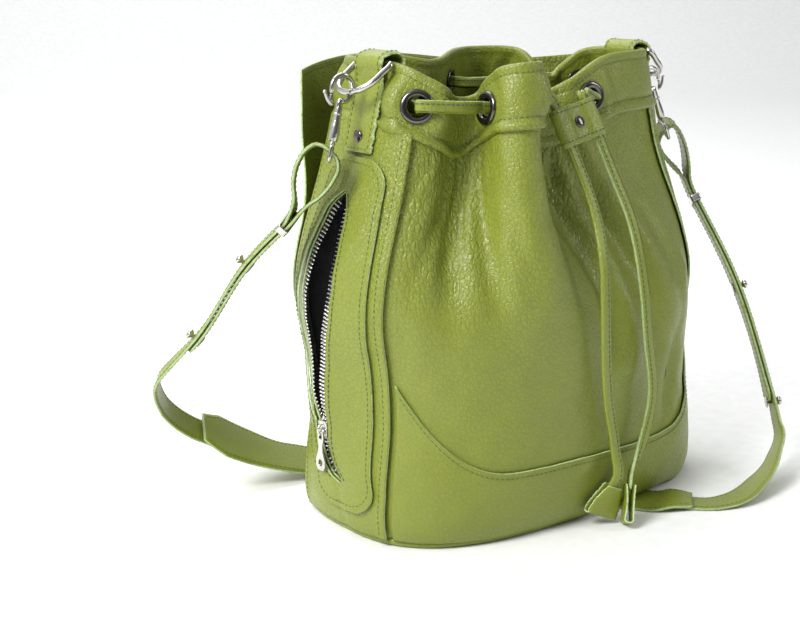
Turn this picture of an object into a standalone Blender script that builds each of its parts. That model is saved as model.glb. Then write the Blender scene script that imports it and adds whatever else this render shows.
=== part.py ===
"""Drawstring bucket bag: an assembly of leather panels, hardware, cords and a shoulder strap.

Frame: floor at z = 0, bag's front is -Y, the zip gusset is -X, +Z is up, metres.
The bag body is one master surface skin(s, v): s runs once round the bag (0 = middle of the left
gusset, 0.25 = front, 0.5 = right gusset, 0.75 = back), v is the height before the mouth sags.
Every leather panel is a patch of that surface at its own lift, so layers never touch.
"""
import math

import bmesh
import bpy
import numpy as np
from mathutils import Matrix, Vector

# ---------------------------------------------------------------- driving dimensions (metres)
RIM_V = 0.2895            # rim of the mouth
BAND_V = 0.2512           # lower edge of the top band
WALL_V = 0.0052           # lower edge of the side walls, just above the welt
LEATHER = 0.0013          # one layer of shell leather
GAP = 0.0005              # space between two stacked layers
LAP = LEATHER + GAP       # lift of the second layer (gussets, lower front panel, back pocket)
LAP2 = 2 * LAP            # lift of the third layer (zip facing)
BAND_IN, BAND_OUT = 0.0016, 0.0028     # folded band: its inner and outer layer about the shell
RIDGE = 0.0012            # rolled lower edge of the band
SEAM = 0.0565             # gusset edge, as a share of the way round
UNDER = 0.0470            # front and back panels run this far under the gussets
RINGS = (                 # height, half width, half depth, squareness of the oval
    (0.000, 0.1310, 0.0775, 3.0), (0.012, 0.1340, 0.0830, 2.9), (0.035, 0.1340, 0.0870, 2.7),
    (0.075, 0.1300, 0.0885, 2.5), (0.105, 0.1330, 0.0900, 2.4), (0.150, 0.1440, 0.0930, 2.3),
    (0.190, 0.1420, 0.0910, 2.3), (0.230, 0.1290, 0.0820, 2.4), (0.300, 0.1100, 0.0640, 2.5))
# plan of the gathered mouth at eyelet height: left gusset, front pleat, right gusset, back pleat
MOUTH_FRONT = (
    (-0.109, 0.000), (-0.110, -0.020), (-0.105, -0.036), (-0.092, -0.042), (-0.078, -0.037),
    (-0.0665, -0.0325), (-0.0600, -0.0385), (-0.0595, -0.052), (-0.062, -0.065), (-0.056, -0.074),
    (-0.046, -0.075), (-0.038, -0.066), (-0.035, -0.053), (-0.026, -0.040), (-0.012, -0.032),
    (0.006, -0.033), (0.027, -0.040), (0.048, -0.038), (0.070, -0.0345), (0.090, -0.029), (0.1035, -0.020),
    (0.107, -0.010), (0.107, 0.000))
MOUTH_BACK = (
    (0.107, 0.000), (0.107, 0.011), (0.1040, 0.022), (0.094, 0.034), (0.079, 0.036), (0.067, 0.035), (0.060, 0.045),
    (0.057, 0.060), (0.045, 0.071), (0.028, 0.0735), (0.012, 0.0665), (-0.002, 0.0565), (-0.016, 0.0470),
    (-0.030, 0.0400), (-0.046, 0.0365), (-0.066, 0.042), (-0.088, 0.046), (-0.103, 0.036),
    (-0.109, 0.018), (-0.109, 0.000))
GATHER_V = (0.095, 0.250)  # the mouth's plan takes over between these heights
SAGS = ((-0.0740, -0.0350, 0.0458, 0.022), (-0.0015, -0.0318, 0.0485, 0.022),   # plan x, y, width, drop
        (0.072, 0.035, 0.030, 0.019), (-0.034, 0.039, 0.040, 0.005))
BULGES = ((-0.012, 0.150, 0.005, 0.020, 0.045), (-0.013, 0.086, 0.010, 0.027, 0.034))  # s, v, size, widths: open zip
EYELET_V = 0.2700
EYELET_PLAN = ((-0.104, -0.037), (-0.0598, -0.0505), (-0.0365, -0.0600), (0.030, -0.040),
               (0.093, 0.034), (0.0585, 0.052), (-0.007, 0.049), (-0.093, 0.044))
EYELET_HOLE, EYELET_BARREL, EYELET_BORE, EYELET_R = 0.0063, 0.0060, 0.0053, 0.0100
ZIP_S = 0.012             # middle of the zip and of its facing
ZIP_V = (0.033, 0.212)    # the slot
ZIP_OPEN_V = 0.0715       # just above the slider; the zip is open above it
SLOT = 0.0070             # half width of the slot in the leather, as a share
ZIP_WANDER = ((0.033, 0.0095), (0.042, -0.0030), (0.052, -0.0100), (0.070, -0.0110), (0.097, -0.0095),
              (0.124, -0.0030), (0.1435, 0.0045), (0.167, 0.0070), (0.190, 0.0058), (0.212, 0.0030))  # v, place
OPEN_BACK = 0.0250        # how far the back lip has moved where the zip is widest open, as a share
FACING = (0.018, 0.232, 0.0345)        # facing: bottom, top, half width as a share
FACING_LIFT = 0.0056
STRAP_W, STRAP_T, PAD_W = 0.0200, 0.0021, 0.0360
STRAP_ARCH = 0.0030       # welt and wall rise this much where the strap runs under the bag
CORD_W, CORD_T = 0.0074, 0.0026
VIEW_W = Vector((0.607, 0.794, 0.0))   # strap legs stand with their width along this


for old in list(bpy.data.objects):
    bpy.data.objects.remove(old, do_unlink=True)
BAG = bpy.data.collections.new("bucket_bag")
TOOLS = bpy.data.collections.new("cutters")
bpy.context.scene.collection.children.link(BAG)
bpy.context.scene.collection.children.link(TOOLS)


# ---------------------------------------------------------------- master surface
def ease(x):
    x = np.clip(x, 0.0, 1.0)
    return x * x * (3 - 2 * x)


def through(xs, ys, x):
    """Smooth curve through the points (xs, ys)."""
    xs, ys = np.asarray(xs, float), np.asarray(ys, float)
    slope = np.gradient(ys, xs)
    i = np.clip(np.searchsorted(xs, x, side="right") - 1, 0, len(xs) - 2)
    h = xs[i + 1] - xs[i]
    t = np.clip((x - xs[i]) / h, 0, 1)
    return ((2 * t**3 - 3 * t**2 + 1) * ys[i] + (t**3 - 2 * t**2 + t) * h * slope[i]
            + (3 * t**2 - 2 * t**3) * ys[i + 1] + (t**3 - t**2) * h * slope[i + 1])


def measured(points, count=240):
    """Smooth plan curve as (share of length, xy)."""
    p = np.array(points, float)
    k = np.r_[0, np.cumsum(np.linalg.norm(np.diff(p, axis=0), axis=1))]
    q = np.linspace(0, k[-1], count)
    c = np.stack([through(k, p[:, j], q) for j in (0, 1)], 1)
    run = np.r_[0, np.cumsum(np.linalg.norm(np.diff(c, axis=0), axis=1))]
    return run / run[-1], c


FRONT_PLAN, BACK_PLAN = measured(MOUTH_FRONT), measured(MOUTH_BACK)
TURN = np.linspace(0, math.pi, 400)


def mouth(s):
    s = np.mod(s, 1.0)
    half = s < 0.5
    a = np.where(half, s * 2, s * 2 - 1)
    return [np.where(half, np.interp(a, FRONT_PLAN[0], FRONT_PLAN[1][:, j]),
                     np.interp(a, BACK_PLAN[0], BACK_PLAN[1][:, j])) for j in (0, 1)]


def share(x, y):
    """Place round the bag nearest a plan point of the mouth."""
    s = np.linspace(0, 1, 4001)
    mx, my = mouth(s)
    return float(s[np.argmin(np.hypot(mx - x, my - y))])


def oval(s, a, b, n):
    sm = np.mod(s, 1.0)
    c, d = np.cos(TURN), np.sin(TURN)
    r = (np.abs(c / 0.134)**2.5 + np.abs(d / 0.087)**2.5)**(-1 / 2.5)
    run = np.r_[0, np.cumsum(np.hypot(np.diff(r * c), np.diff(r * d)))]
    run /= run[-1]
    turn = np.where(sm < 0.5, np.interp(sm * 2, run, TURN),
                    np.interp(sm * 2 - 1, run, TURN) + math.pi) + math.pi
    c, d = np.cos(turn), np.sin(turn)
    r = (np.abs(c / a)**n + np.abs(d / b)**n)**(-1 / n)
    return r * c, r * d


def apart(s, c):
    return np.abs(np.mod(s - c + 0.5, 1) - 0.5)


SAG_S = [(share(x, y), w, d) for x, y, w, d in SAGS]


def base_share(x, y):
    """Place round the base edge nearest a plan point."""
    s = np.linspace(0, 1, 4001)
    bx, by = oval(s, *RINGS[0][1:])
    return float(s[np.argmin(np.hypot(bx - x, by - y))])


ARCHES = [base_share(0.046, -0.080), base_share(-0.060, 0.074)]    # where the strap crosses the base edge


def bare(s, v):
    s, v = np.broadcast_arrays(np.asarray(s, float), np.asarray(v, float))
    table = np.array(RINGS)
    a, b, n = (through(table[:, 0], table[:, k], v) for k in (1, 2, 3))
    x, y = oval(s, a, b, n)
    mx, my = mouth(s)
    w = ease((v - GATHER_V[0]) / (GATHER_V[1] - GATHER_V[0]))
    lean = 1 + 2.0 * (0.272 - v)
    z = v - sum(d * np.exp(-(apart(s, c) / w0)**2) for c, w0, d in SAG_S) * ease((v - 0.12) / 0.17)
    arch = sum(ease((0.072 - apart(s, c)) / 0.026) for c in ARCHES)
    z = z + STRAP_ARCH * arch * (1 - ease(v / 0.045))
    bulge = sum(d * np.exp(-((s - c + 0.5) % 1 - 0.5)**2 / w0**2 - (v - h)**2 / w1**2) for c, h, d, w0, w1 in BULGES)
    return np.stack([x * (1 - w) + mx * w * lean - bulge, y * (1 - w) + my * w * lean, z], -1)


def normal(s, v, f):
    e = 4e-4
    n = np.cross(f(s + e, v) - f(s - e, v), f(s, v + e) - f(s, v - e))
    return n / np.linalg.norm(n, axis=-1, keepdims=True)


EYELETS = []
for ex, ey in EYELET_PLAN:
    es = share(ex, ey)
    EYELETS.append((es, bare(es, EYELET_V), normal(es, EYELET_V, bare)))


def flat(s, v):
    """The surface with the small flat spots the eyelets press into the band."""
    p = bare(s, v)
    for es, centre, axis in EYELETS:
        d = p - centre
        near = ease((0.023 - np.linalg.norm(d, axis=-1)) / 0.008) * (apart(s, es) < 0.06)
        p = p - (d @ axis * near)[..., None] * axis
    return p


def skin(s, v, lift=0.0):
    s, v = np.broadcast_arrays(np.asarray(s, float), np.asarray(v, float))
    return flat(s, v) + normal(s, v, flat) * np.asarray(lift)[..., None]


def pocket_skin(s, v, lift=0.0):
    """Back slip pocket: on the shell below, standing off flat and ungathered above."""
    s, v = np.broadcast_arrays(np.asarray(s, float), np.asarray(v, float))
    t = (s - (0.5 + SEAM)) / (1 - 2 * SEAM - 0.5)
    x = 0.118 - 0.246 * t
    y = 0.0905 - 0.042 * np.abs(2 * t - 1)**3.2
    free = np.stack([x, y, v - 0.004 * np.sin(t * 7.0)], -1)
    w = ease((v - 0.150) / 0.100)[..., None]
    return skin(s, v, lift + 0.004 * ease((v - 0.10) / 0.08)) * (1 - w) + free * w


# ---------------------------------------------------------------- shared lines of the panels
def lines(first, last):
    """The common upright lines between two places, so stacked layers share their facets."""
    side = [base + k for base in (0, 0.5, 1.0) for k in (-SEAM, -UNDER, -0.0235, 0.0, 0.0235, UNDER, SEAM)]
    spots = [es + k for es, _, _ in EYELETS for k in (-0.0150, 0.0, 0.0150)]
    fill = [*np.linspace(SEAM, 0.5 - SEAM, 25)[1:-1], *np.linspace(0.5 + SEAM, 1 - SEAM, 23)[1:-1]]
    fixed = sorted(q for q in side + spots if 0 <= q <= 1)
    fixed = [q for q in fixed if q in side or min(abs(q - k) for k in side) > 0.0035]
    every = sorted({round(q, 5) for q in fixed + [q for q in fill if min(abs(q - k) for k in fixed) > 0.0075]})
    return [q for q in every if first - 1e-6 <= q <= last + 1e-6]


WALL = (WALL_V, 0.014, 0.030, 0.055, 0.085, 0.120, 0.152, 0.185, 0.218, 0.2486)
BAND = (BAND_V, 0.2540, 0.2575, 0.2620, 0.2790, RIM_V)


# ---------------------------------------------------------------- makers
def material(name, colour, metallic, roughness):
    m = bpy.data.materials.new(name)
    m.use_nodes = True
    s = m.node_tree.nodes["Principled BSDF"]
    s.inputs["Base Color"].default_value = (*colour, 1)
    s.inputs["Metallic"].default_value = metallic
    s.inputs["Roughness"].default_value = roughness
    m.diffuse_color = (*colour, 1)
    return m


GREEN = (0.30, 0.38, 0.045)
STUFF = {"leather": (GREEN, 0, 0.5), "edge": ((0.34, 0.50, 0.16), 0, 0.7),
         "nickel": ((0.80, 0.79, 0.77), 1, 0.2), "gunmetal": ((0.22, 0.21, 0.21), 1, 0.25),
         "lining": ((0.012, 0.012, 0.014), 0, 0.85), "tape": ((0.02, 0.02, 0.022), 0, 0.9),
         "board": ((0.25, 0.20, 0.14), 0, 0.9)}


def finish(obj, stuff, smooth=True):
    colour, metallic, roughness = STUFF[stuff]
    obj.data.materials.clear()
    obj.data.materials.append(material(obj.name + "_" + stuff, colour, metallic, roughness))
    if smooth and obj.type == "MESH":
        obj.data.polygons.foreach_set("use_smooth", [True] * len(obj.data.polygons))
    return obj


def mesh(name, points, faces, stuff, home=BAG, origin=(0, 0, 0)):
    me = bpy.data.meshes.new(name)
    o = Vector(origin)
    me.from_pydata([tuple(Vector(p) - o) for p in points], [], faces)
    obj = bpy.data.objects.new(name, me)
    obj.location = o
    home.objects.link(obj)
    return finish(obj, stuff)


def thicken(obj, thickness, offset=1.0):
    m = obj.modifiers.new("thickness", "SOLIDIFY")
    m.thickness = thickness
    m.offset = offset
    return obj


def cut(obj, tool, operation="DIFFERENCE"):
    m = obj.modifiers.new(operation.lower(), "BOOLEAN")
    m.operation = operation
    m.solver = "EXACT"
    m.object = tool
    return obj


def as_tool(obj):
    for c in list(obj.users_collection):
        c.objects.unlink(obj)
    TOOLS.objects.link(obj)
    obj.hide_render = True
    obj.display_type = "WIRE"
    return obj


def sheet(name, columns, rows, lift, thickness, stuff, surface=skin, top=None, loop=False):
    """A leather panel: a patch of the surface, thickened outwards.

    columns: places round the bag, or a function v -> places; a column given twice opens a slit.
    top: function s -> height of a curved upper edge (rows are then shares of the height).
    lift: number or function (s, v)."""
    points, faces, index = [], [], {}
    grid = []
    for v in rows:
        cols = columns(v) if callable(columns) else columns
        line = []
        for s in cols:
            height = WALL_V + (top(s) - WALL_V) * v if top else v
            up = lift(s, height) if callable(lift) else lift
            key = (round(s, 6), round(height, 6))
            if key not in index:
                index[key] = len(points)
                points.append(tuple(surface(s, height, up)))
            line.append(index[key])
        grid.append(line)
    for a, b in zip(grid, grid[1:]):
        count = len(a) if loop else len(a) - 1
        for k in range(count):
            if callable(columns) and k == SLIT:
                continue
            j = (k + 1) % len(a)
            quad = [a[k], a[j], b[j], b[k]]
            faces.append([q for i, q in enumerate(quad) if q != quad[i - 1]])
    return thicken(mesh(name, points, faces, stuff), thickness)


SLIT = 4  # slotted panels have this many cells behind the slot


def bow(v):
    """How far the slumped zip's front lip sits towards the back at a height, as a share."""
    table = np.array(ZIP_WANDER)
    return ZIP_S - float(through(table[:, 0], table[:, 1], np.clip(v, *ZIP_V)))


def lens(v):
    """Opening of the zip at a height, 0 to 1."""
    t = np.clip((v - ZIP_OPEN_V) / (ZIP_V[1] - ZIP_OPEN_V), 0, 1)
    return math.sin(math.pi * t)**0.6


def slot_edge(v, side):
    """Edge of the slot in the leather; side +1 is the front lip, -1 the back lip."""
    if not ZIP_V[0] < v < ZIP_V[1]:
        return ZIP_S - bow(v)
    top = float(ease((ZIP_V[1] - v) / 0.012 + 0.3))
    return ZIP_S - bow(v) + side * SLOT * top - (OPEN_BACK * lens(v) if side < 0 else 0)


def slotted(edge):
    """Columns of a panel with the zip slot, out to the edges edge(v) = (left, inner left, inner right, right)."""
    def cols(v):
        left, left2, right2, right = edge(v)
        a, b = slot_edge(v, -1), slot_edge(v, 1)
        return ([left] + [left2 + (a - left2) * k / 3 for k in range(4)]
                + [b + (right2 - b) * k / 3 for k in range(4)] + [right])
    return cols


def smooth_path(points, widths, count=None, each=3):
    """Smooth run through the points: positions, width directions and tangents.

    count gives even stations; without it every stretch between two points gets `each` of them."""
    p = np.array([(*q, *w) for q, w in zip(points, widths)], float)
    k = np.r_[0, np.cumsum(np.linalg.norm(np.diff(p[:, :3], axis=0), axis=1))]
    q = np.linspace(0, k[-1], count) if count else np.interp(np.arange((len(k) - 1) * each + 1) / each,
                                                             np.arange(len(k)), k)
    r = np.stack([through(k, p[:, j], q) for j in range(6)], 1)
    t = np.gradient(r[:, :3], q, axis=0)
    t /= np.linalg.norm(t, axis=1, keepdims=True)
    w = r[:, 3:]
    w = w - (w * t).sum(1, keepdims=True) * t
    return r[:, :3], w / np.linalg.norm(w, axis=1, keepdims=True), t


def ribbon(name, path, width, thickness, stuff, closed=False, offset=0.0):
    """A leather strip: two rails along the path, thickened; width may be one number per point."""
    p, w = path[0], path[1]
    half = np.broadcast_to(np.asarray(width, float) / 2, (len(p),))[:, None]
    points = [tuple(q) for pair in zip(p - w * half, p + w * half) for q in pair]
    n = len(p)
    faces = [[2 * i, 2 * i + 1, 2 * i + 3, 2 * i + 2] for i in range(n - 1)]
    if closed:
        faces.append([2 * n - 2, 2 * n - 1, 1, 0])
    return thicken(mesh(name, points, faces, stuff), thickness, offset)


def as_mesh(name, curve):
    """Turn a curve into a welded mesh object."""
    tmp = bpy.data.objects.new(name + "_curve", curve)
    BAG.objects.link(tmp)
    bpy.context.view_layer.update()
    me = bpy.data.meshes.new_from_object(tmp.evaluated_get(bpy.context.evaluated_depsgraph_get()))
    bpy.data.objects.remove(tmp, do_unlink=True)
    bm = bmesh.new()
    bm.from_mesh(me)
    bmesh.ops.remove_doubles(bm, verts=bm.verts, dist=1e-6)
    bmesh.ops.recalc_face_normals(bm, faces=bm.faces)
    bm.to_mesh(me)
    bm.free()
    me.name = name
    obj = bpy.data.objects.new(name, me)
    BAG.objects.link(obj)
    return obj


def wire(name, points, radius, stuff, cyclic=False, radii=None, sides=2):
    """A bent wire: a curve with a round bevel, turned into a mesh."""
    cu = bpy.data.curves.new(name, "CURVE")
    cu.dimensions = "3D"
    cu.bevel_depth = radius
    cu.bevel_resolution = sides
    cu.use_fill_caps = not cyclic
    sp = cu.splines.new("POLY")
    sp.points.add(len(points) - 1)
    for i, q in enumerate(points):
        sp.points[i].co = (*q, 1)
        sp.points[i].radius = radii[i] if radii else 1
    sp.use_cyclic_u = cyclic
    return finish(as_mesh(name, cu), stuff)


def lathe(name, profile, centre, axis, stuff, segments=16, home=BAG):
    """A turned part: profile of (radius, height) pairs round the axis through centre."""
    me = bpy.data.meshes.new(name)
    n = len(profile)
    closed = min(r for r, _ in profile) > 0
    edges = [(i, i + 1) for i in range(n - 1)] + ([(n - 1, 0)] if closed else [])
    me.from_pydata([(r, 0, h) for r, h in reversed(profile)], edges, [])
    obj = bpy.data.objects.new(name, me)
    home.objects.link(obj)
    obj.matrix_world = Matrix.Translation(Vector(centre)) @ Vector(axis).to_track_quat("Z", "Y").to_matrix().to_4x4()
    m = obj.modifiers.new("turn", "SCREW")
    m.angle = 2 * math.pi
    m.steps = m.render_steps = segments
    m.use_merge_vertices = True
    m.merge_threshold = 1e-5
    return finish(obj, stuff)


def plate(name, frame, size, stuff, bevel=0.0):
    """A block of the given size along x, y and z, centred on a frame (origin, x, y, z)."""
    o, x, y, z = (Vector(q) for q in frame)
    me = bpy.data.meshes.new(name)
    bm = bmesh.new()
    bmesh.ops.create_cube(bm, size=1.0, matrix=Matrix.Diagonal((*size, 1.0)))
    bm.to_mesh(me)
    bm.free()
    obj = bpy.data.objects.new(name, me)
    BAG.objects.link(obj)
    obj.matrix_world = Matrix.Translation(o) @ Matrix((x, y, z)).transposed().to_4x4()
    if bevel:
        m = obj.modifiers.new("edge", "BEVEL")
        m.width = bevel
        m.segments = 2
        m.limit_method = "NONE"
    return finish(obj, stuff, smooth=False)


def outline_plate(name, outline, origin, axes, thickness, stuff):
    """A flat outline in the first two axes, filled and extruded to its thickness."""
    cu = bpy.data.curves.new(name, "CURVE")
    cu.dimensions = "2D"
    cu.fill_mode = "BOTH"
    cu.extrude = thickness / 2
    sp = cu.splines.new("POLY")
    sp.points.add(len(outline) - 1)
    for i, q in enumerate(outline):
        sp.points[i].co = (*q, 0, 1)
    sp.use_cyclic_u = True
    obj = as_mesh(name, cu)
    obj.matrix_world = Matrix.Translation(origin) @ Matrix([Vector(q) for q in axes]).transposed().to_4x4()
    return finish(obj, stuff, smooth=False)


def arc(centre, x, y, radius, start, stop, count):
    """Points on a circle in the plane of x and y, angles in degrees."""
    c, x, y = Vector(centre), Vector(x), Vector(y)
    return [c + (x * math.cos(a) + y * math.sin(a)) * radius
            for a in (math.radians(start + (stop - start) * k / (count - 1)) for k in range(count))]


# ---------------------------------------------------------------- bag body
EYE_TOOL = None
for k, (es, centre, axis) in enumerate(EYELETS):
    tool = as_tool(lathe(f"eyelet_cut_{k + 1}", [(0, -0.012), (EYELET_HOLE, -0.012), (EYELET_HOLE, 0.012), (0, 0.012)],
                         centre, axis, "leather", 12, TOOLS))
TOOL = {k: bpy.data.objects[f"eyelet_cut_{k}"] for k in range(1, 9)}

sheet("front_panel", lines(UNDER, 0.5 - UNDER), WALL, 0.0, LEATHER, "leather")
sheet("back_panel", lines(0.5 + UNDER, 1 - UNDER), WALL, 0.0, LEATHER, "leather")


def lower_edge(s):
    """Upper edge of the lapped lower front panel: high at the gussets, low in the middle."""
    side = abs(s - 0.25) / (0.25 - SEAM)
    return 0.046 + 0.062 * max(0.0, (side - 0.45) / 0.55)**2.2


sheet("front_lower_panel", lines(SEAM + 0.006, 0.5 - SEAM - 0.006), (0, 0.18, 0.45, 0.72, 1.0), 0.0024, LEATHER,
      "leather", top=lower_edge)
sheet("back_pocket", lines(0.5 + SEAM + 0.006, 1 - SEAM - 0.006),
      (0.006, 0.014, 0.030, 0.055, 0.085, 0.120, 0.152, 0.185, 0.218, 0.245, 0.283), 0.0026, LEATHER, "leather",
      surface=pocket_skin)
sheet("right_gusset", lines(0.5 - SEAM, 0.5 + SEAM), WALL, LAP, LEATHER, "leather")
SLOT_ROWS = (WALL_V, 0.014, 0.024, 0.031, 0.0345, 0.042, 0.052, 0.062, 0.0715, 0.080, 0.093, 0.112, 0.140, 0.168, 0.190, 0.205, 0.2125,
             0.222, 0.238, 0.2486)
sheet("left_gusset", slotted(lambda v: (-SEAM, -UNDER, UNDER, SEAM)), SLOT_ROWS, LAP + 0.0009, LEATHER, "leather")


def facing_edge(v):
    low, high, half = FACING
    end = min(v - low, high - v)
    tuck = 0.020 * (1 - math.sqrt(max(0.0, 1 - (1 - min(end / 0.013, 1.0))**2)))
    left, right = ZIP_S - half - 0.7 * bow(v) - 0.004 * lens(v) + tuck, ZIP_S + half - 0.2 * bow(v) - tuck
    return left, left + 0.006, right - 0.006, right


FACING_ROWS = (0.018, 0.0205, 0.025) + SLOT_ROWS[3:-3] + (0.2255, 0.2295, 0.232)
sheet("zip_facing", slotted(facing_edge), FACING_ROWS, FACING_LIFT, LEATHER, "leather")

# base: a welt round the edge, the base leather and a stiffener, all just clear of the strap below
WELT = [bare(s, 0.0) + normal(np.float64(s), np.float64(0.004), bare) * (0.0012, 0.0012, 0.0)
        for s in np.linspace(0, 1, 49)[:-1]]
WELT = [Vector((q[0], q[1], 0.0023 + (q[2] if q[2] > 1e-5 else 0))) for q in WELT]
wire("base_welt", WELT, 0.0022, "leather", cyclic=True, sides=1)


def floor_plate(name, inset, z, thickness, stuff):
    ring = [skin(s, 0.0, -inset) for s in np.linspace(0, 1, 33)[:-1]]
    pts = [(q[0], q[1], z) for q in ring]
    return thicken(mesh(name, pts, [list(range(32))[::-1]], stuff), thickness, -1.0)


floor_plate("base_panel", 0.0022, 0.0034, 0.0013, "leather")
floor_plate("base_board", 0.0050, 0.0052, 0.0020, "board")

# top band: a strip folded over the rim, so it is its own facing; front and back meet under the tabs


def band_lift(s, v):
    return -BAND_IN + RIDGE * float(ease((0.2590 - v) / 0.0030)) * float(ease((v - 0.2500) / 0.0030) * 0.6 + 0.4)


for name, first, last, holes in (("top_band_front", 0.0, 0.5, (1, 2, 3, 4)), ("top_band_back", 0.5, 1.0, (5, 6, 7, 8))):
    cols = lines(first, last)
    cols[0] += 0.0012
    cols[-1] -= 0.0012
    band = sheet(name, cols, BAND, band_lift, BAND_IN + BAND_OUT, "leather")
    for h in holes:
        cut(band, TOOL[h])


def lining_lift(s, v):
    """The lining stands in from the wall to make room for the zip pocket."""
    d = (s + 0.010 + 0.5) % 1 - 0.5
    q = math.hypot(d / 0.062, (v - 0.122) / 0.118)
    return -0.0032 - 0.024 * float(ease(1.6 * (1 - q))) - 0.0062 * float(ease((v - 0.08) / 0.06))


def lining_surface(s, v, lift):
    if v < 0:                        # v below 0 counts rings of the flat bottom towards the middle
        p = skin(s, 0.0090, -0.0011)
        return np.array((p[0] * (1 + v), p[1] * (1 + v), 0.0092))
    p = skin(s, v, lift)
    return np.array((p[0], p[1], max(p[2], 0.0092)))


sheet("lining", lines(0.0, 0.9999)[::2], (-0.999, -0.08, 0.0105, 0.030, 0.060, 0.095, 0.130, 0.165, 0.205, 0.2480),
      lining_lift, 0.0006, "lining", surface=lining_surface, loop=True)

# zip: two tapes under the slot, their rows of teeth, stops, slider, pull, and the pocket bag


CHAIN = 0.0022             # lift of the middle of the chain


def zip_line(v, side, out):
    """Place of the chain's edge: out metres from the closed centre line, on one lip."""
    return ZIP_S - bow(v) + side * out / 0.75 - (OPEN_BACK * lens(v) if side < 0 else 0)


TEETH_V = np.linspace(0.0386, 0.2045, 35)
for side, lip in ((1, "front"), (-1, "back")):
    pts, faces = [], []
    for i, v in enumerate(TEETH_V):
        for out in (0.0004, 0.0019, 0.0026):
            pts.append(tuple(skin(zip_line(v, side, out), v, CHAIN)))
        if i:
            a, b = 3 * (i - 1), 3 * i
            faces.append([a + 1, a + 2, b + 2, b + 1])
            if i % 2:
                faces.append([a, a + 1, b + 1, b])
    if side < 0:
        faces = [f[::-1] for f in faces]
    thicken(mesh(f"zip_teeth_{lip}", pts, faces, "nickel"), 0.0020, 0.0)
    rows = (0.030,) + SLOT_ROWS[4:-4] + (0.209, 0.215)
    cols = (lambda v, side=side: sorted([zip_line(v, side, 0.0035), zip_line(v, side, 0.0150)]))
    pts = [tuple(skin(s, v, -0.0006)) for v in rows for s in cols(v)]
    thicken(mesh(f"zip_tape_{lip}", pts, [[2 * i, 2 * i + 1, 2 * i + 3, 2 * i + 2] for i in range(len(rows) - 1)],
                 "tape"), 0.0007)

SLIDER_V = ZIP_OPEN_V - 0.0065
ZIP_P = Vector(skin(ZIP_S - bow(SLIDER_V), SLIDER_V, CHAIN))
ZIP_N = Vector(normal(np.float64(ZIP_S - bow(SLIDER_V)), np.float64(SLIDER_V), flat))
# the way the slider slides, down the closed chain
ZIP_D = (Vector(skin(ZIP_S - bow(0.056), 0.056)) - Vector(skin(ZIP_S - bow(0.070), 0.070))).normalized()
ZIP_N = (ZIP_N - ZIP_D * ZIP_N.dot(ZIP_D)).normalized()
ZIP_W = ZIP_D.cross(ZIP_N)


def zip_at(w, d, n):
    return ZIP_P + ZIP_W * w + ZIP_D * d + ZIP_N * n


def join(name, parts):
    """Fuse closed meshes into the first one with exact unions."""
    for other in parts[1:]:
        cut(parts[0], as_tool(other), "UNION")
    parts[0].name = name
    parts[0].data.name = name
    return parts[0]


slider = plate("zip_slider", (zip_at(0, 0, 0.0023), ZIP_W, ZIP_D, ZIP_N), (0.0084, 0.0106, 0.0013), "nickel")
bridge = wire("slider_bridge", [zip_at(0, 0.0036 * math.cos(a), 0.0023 + 0.0040 * math.sin(a))
                                for a in np.linspace(-0.12, math.pi + 0.12, 8)], 0.0007, "nickel", sides=1)
rails = [plate(f"slider_rail_{k}", (zip_at(k * 0.0040, 0, 0.0010), ZIP_W, ZIP_D, ZIP_N), (0.0006, 0.0080, 0.0022),
               "nickel") for k in (-1, 1)]
join("zip_slider", [slider, bridge, *rails])

PULL_N = 0.0043            # height of the pull's cross bar over the chain, under the bridge
PULL_S = ZIP_S - bow(SLIDER_V)                               # the pull hangs straight down from here
PULL_D = (Vector(skin(PULL_S, 0.045)) - Vector(skin(PULL_S, 0.065))).normalized() + ZIP_N * 0.10
PULL_D = PULL_D.normalized()
PULL_W = PULL_D.cross(ZIP_N).normalized()
PULL_U = PULL_W.cross(PULL_D)
PULL_AT = zip_at(0, 0, PULL_N)


def pull_at(w, d):
    return PULL_AT + PULL_W * w + PULL_D * d


outline = [(-0.0030, -0.0006), (0.0030, -0.0006), (0.0030, 0.0065), (0.0020, 0.0090), (0.0024, 0.0140),
           (0.0046, 0.0180), (0.0046, 0.0235), (0.0032, 0.0262), (-0.0032, 0.0262), (-0.0046, 0.0235),
           (-0.0046, 0.0180), (-0.0024, 0.0140), (-0.0020, 0.0090), (-0.0030, 0.0065)]
pull = outline_plate("zip_pull", outline, PULL_AT, (PULL_W, PULL_D, PULL_U), 0.0011, "nickel")
cut(pull, as_tool(plate("pull_slot", (pull_at(0, 0.0033), PULL_W, PULL_D, PULL_U), (0.0036, 0.0052, 0.0060), "nickel")))
cut(pull, as_tool(lathe("pull_hole", [(0, -0.003), (0.0021, -0.003), (0.0021, 0.003), (0, 0.003)],
                        pull_at(0, 0.0212), PULL_U, "nickel", 12, TOOLS)))
plate("zip_bottom_stop", (Vector(skin(ZIP_S - bow(0.0368), 0.0368, CHAIN)), ZIP_W, ZIP_D, ZIP_N), (0.0052, 0.0018, 0.0022), "nickel")

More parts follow.
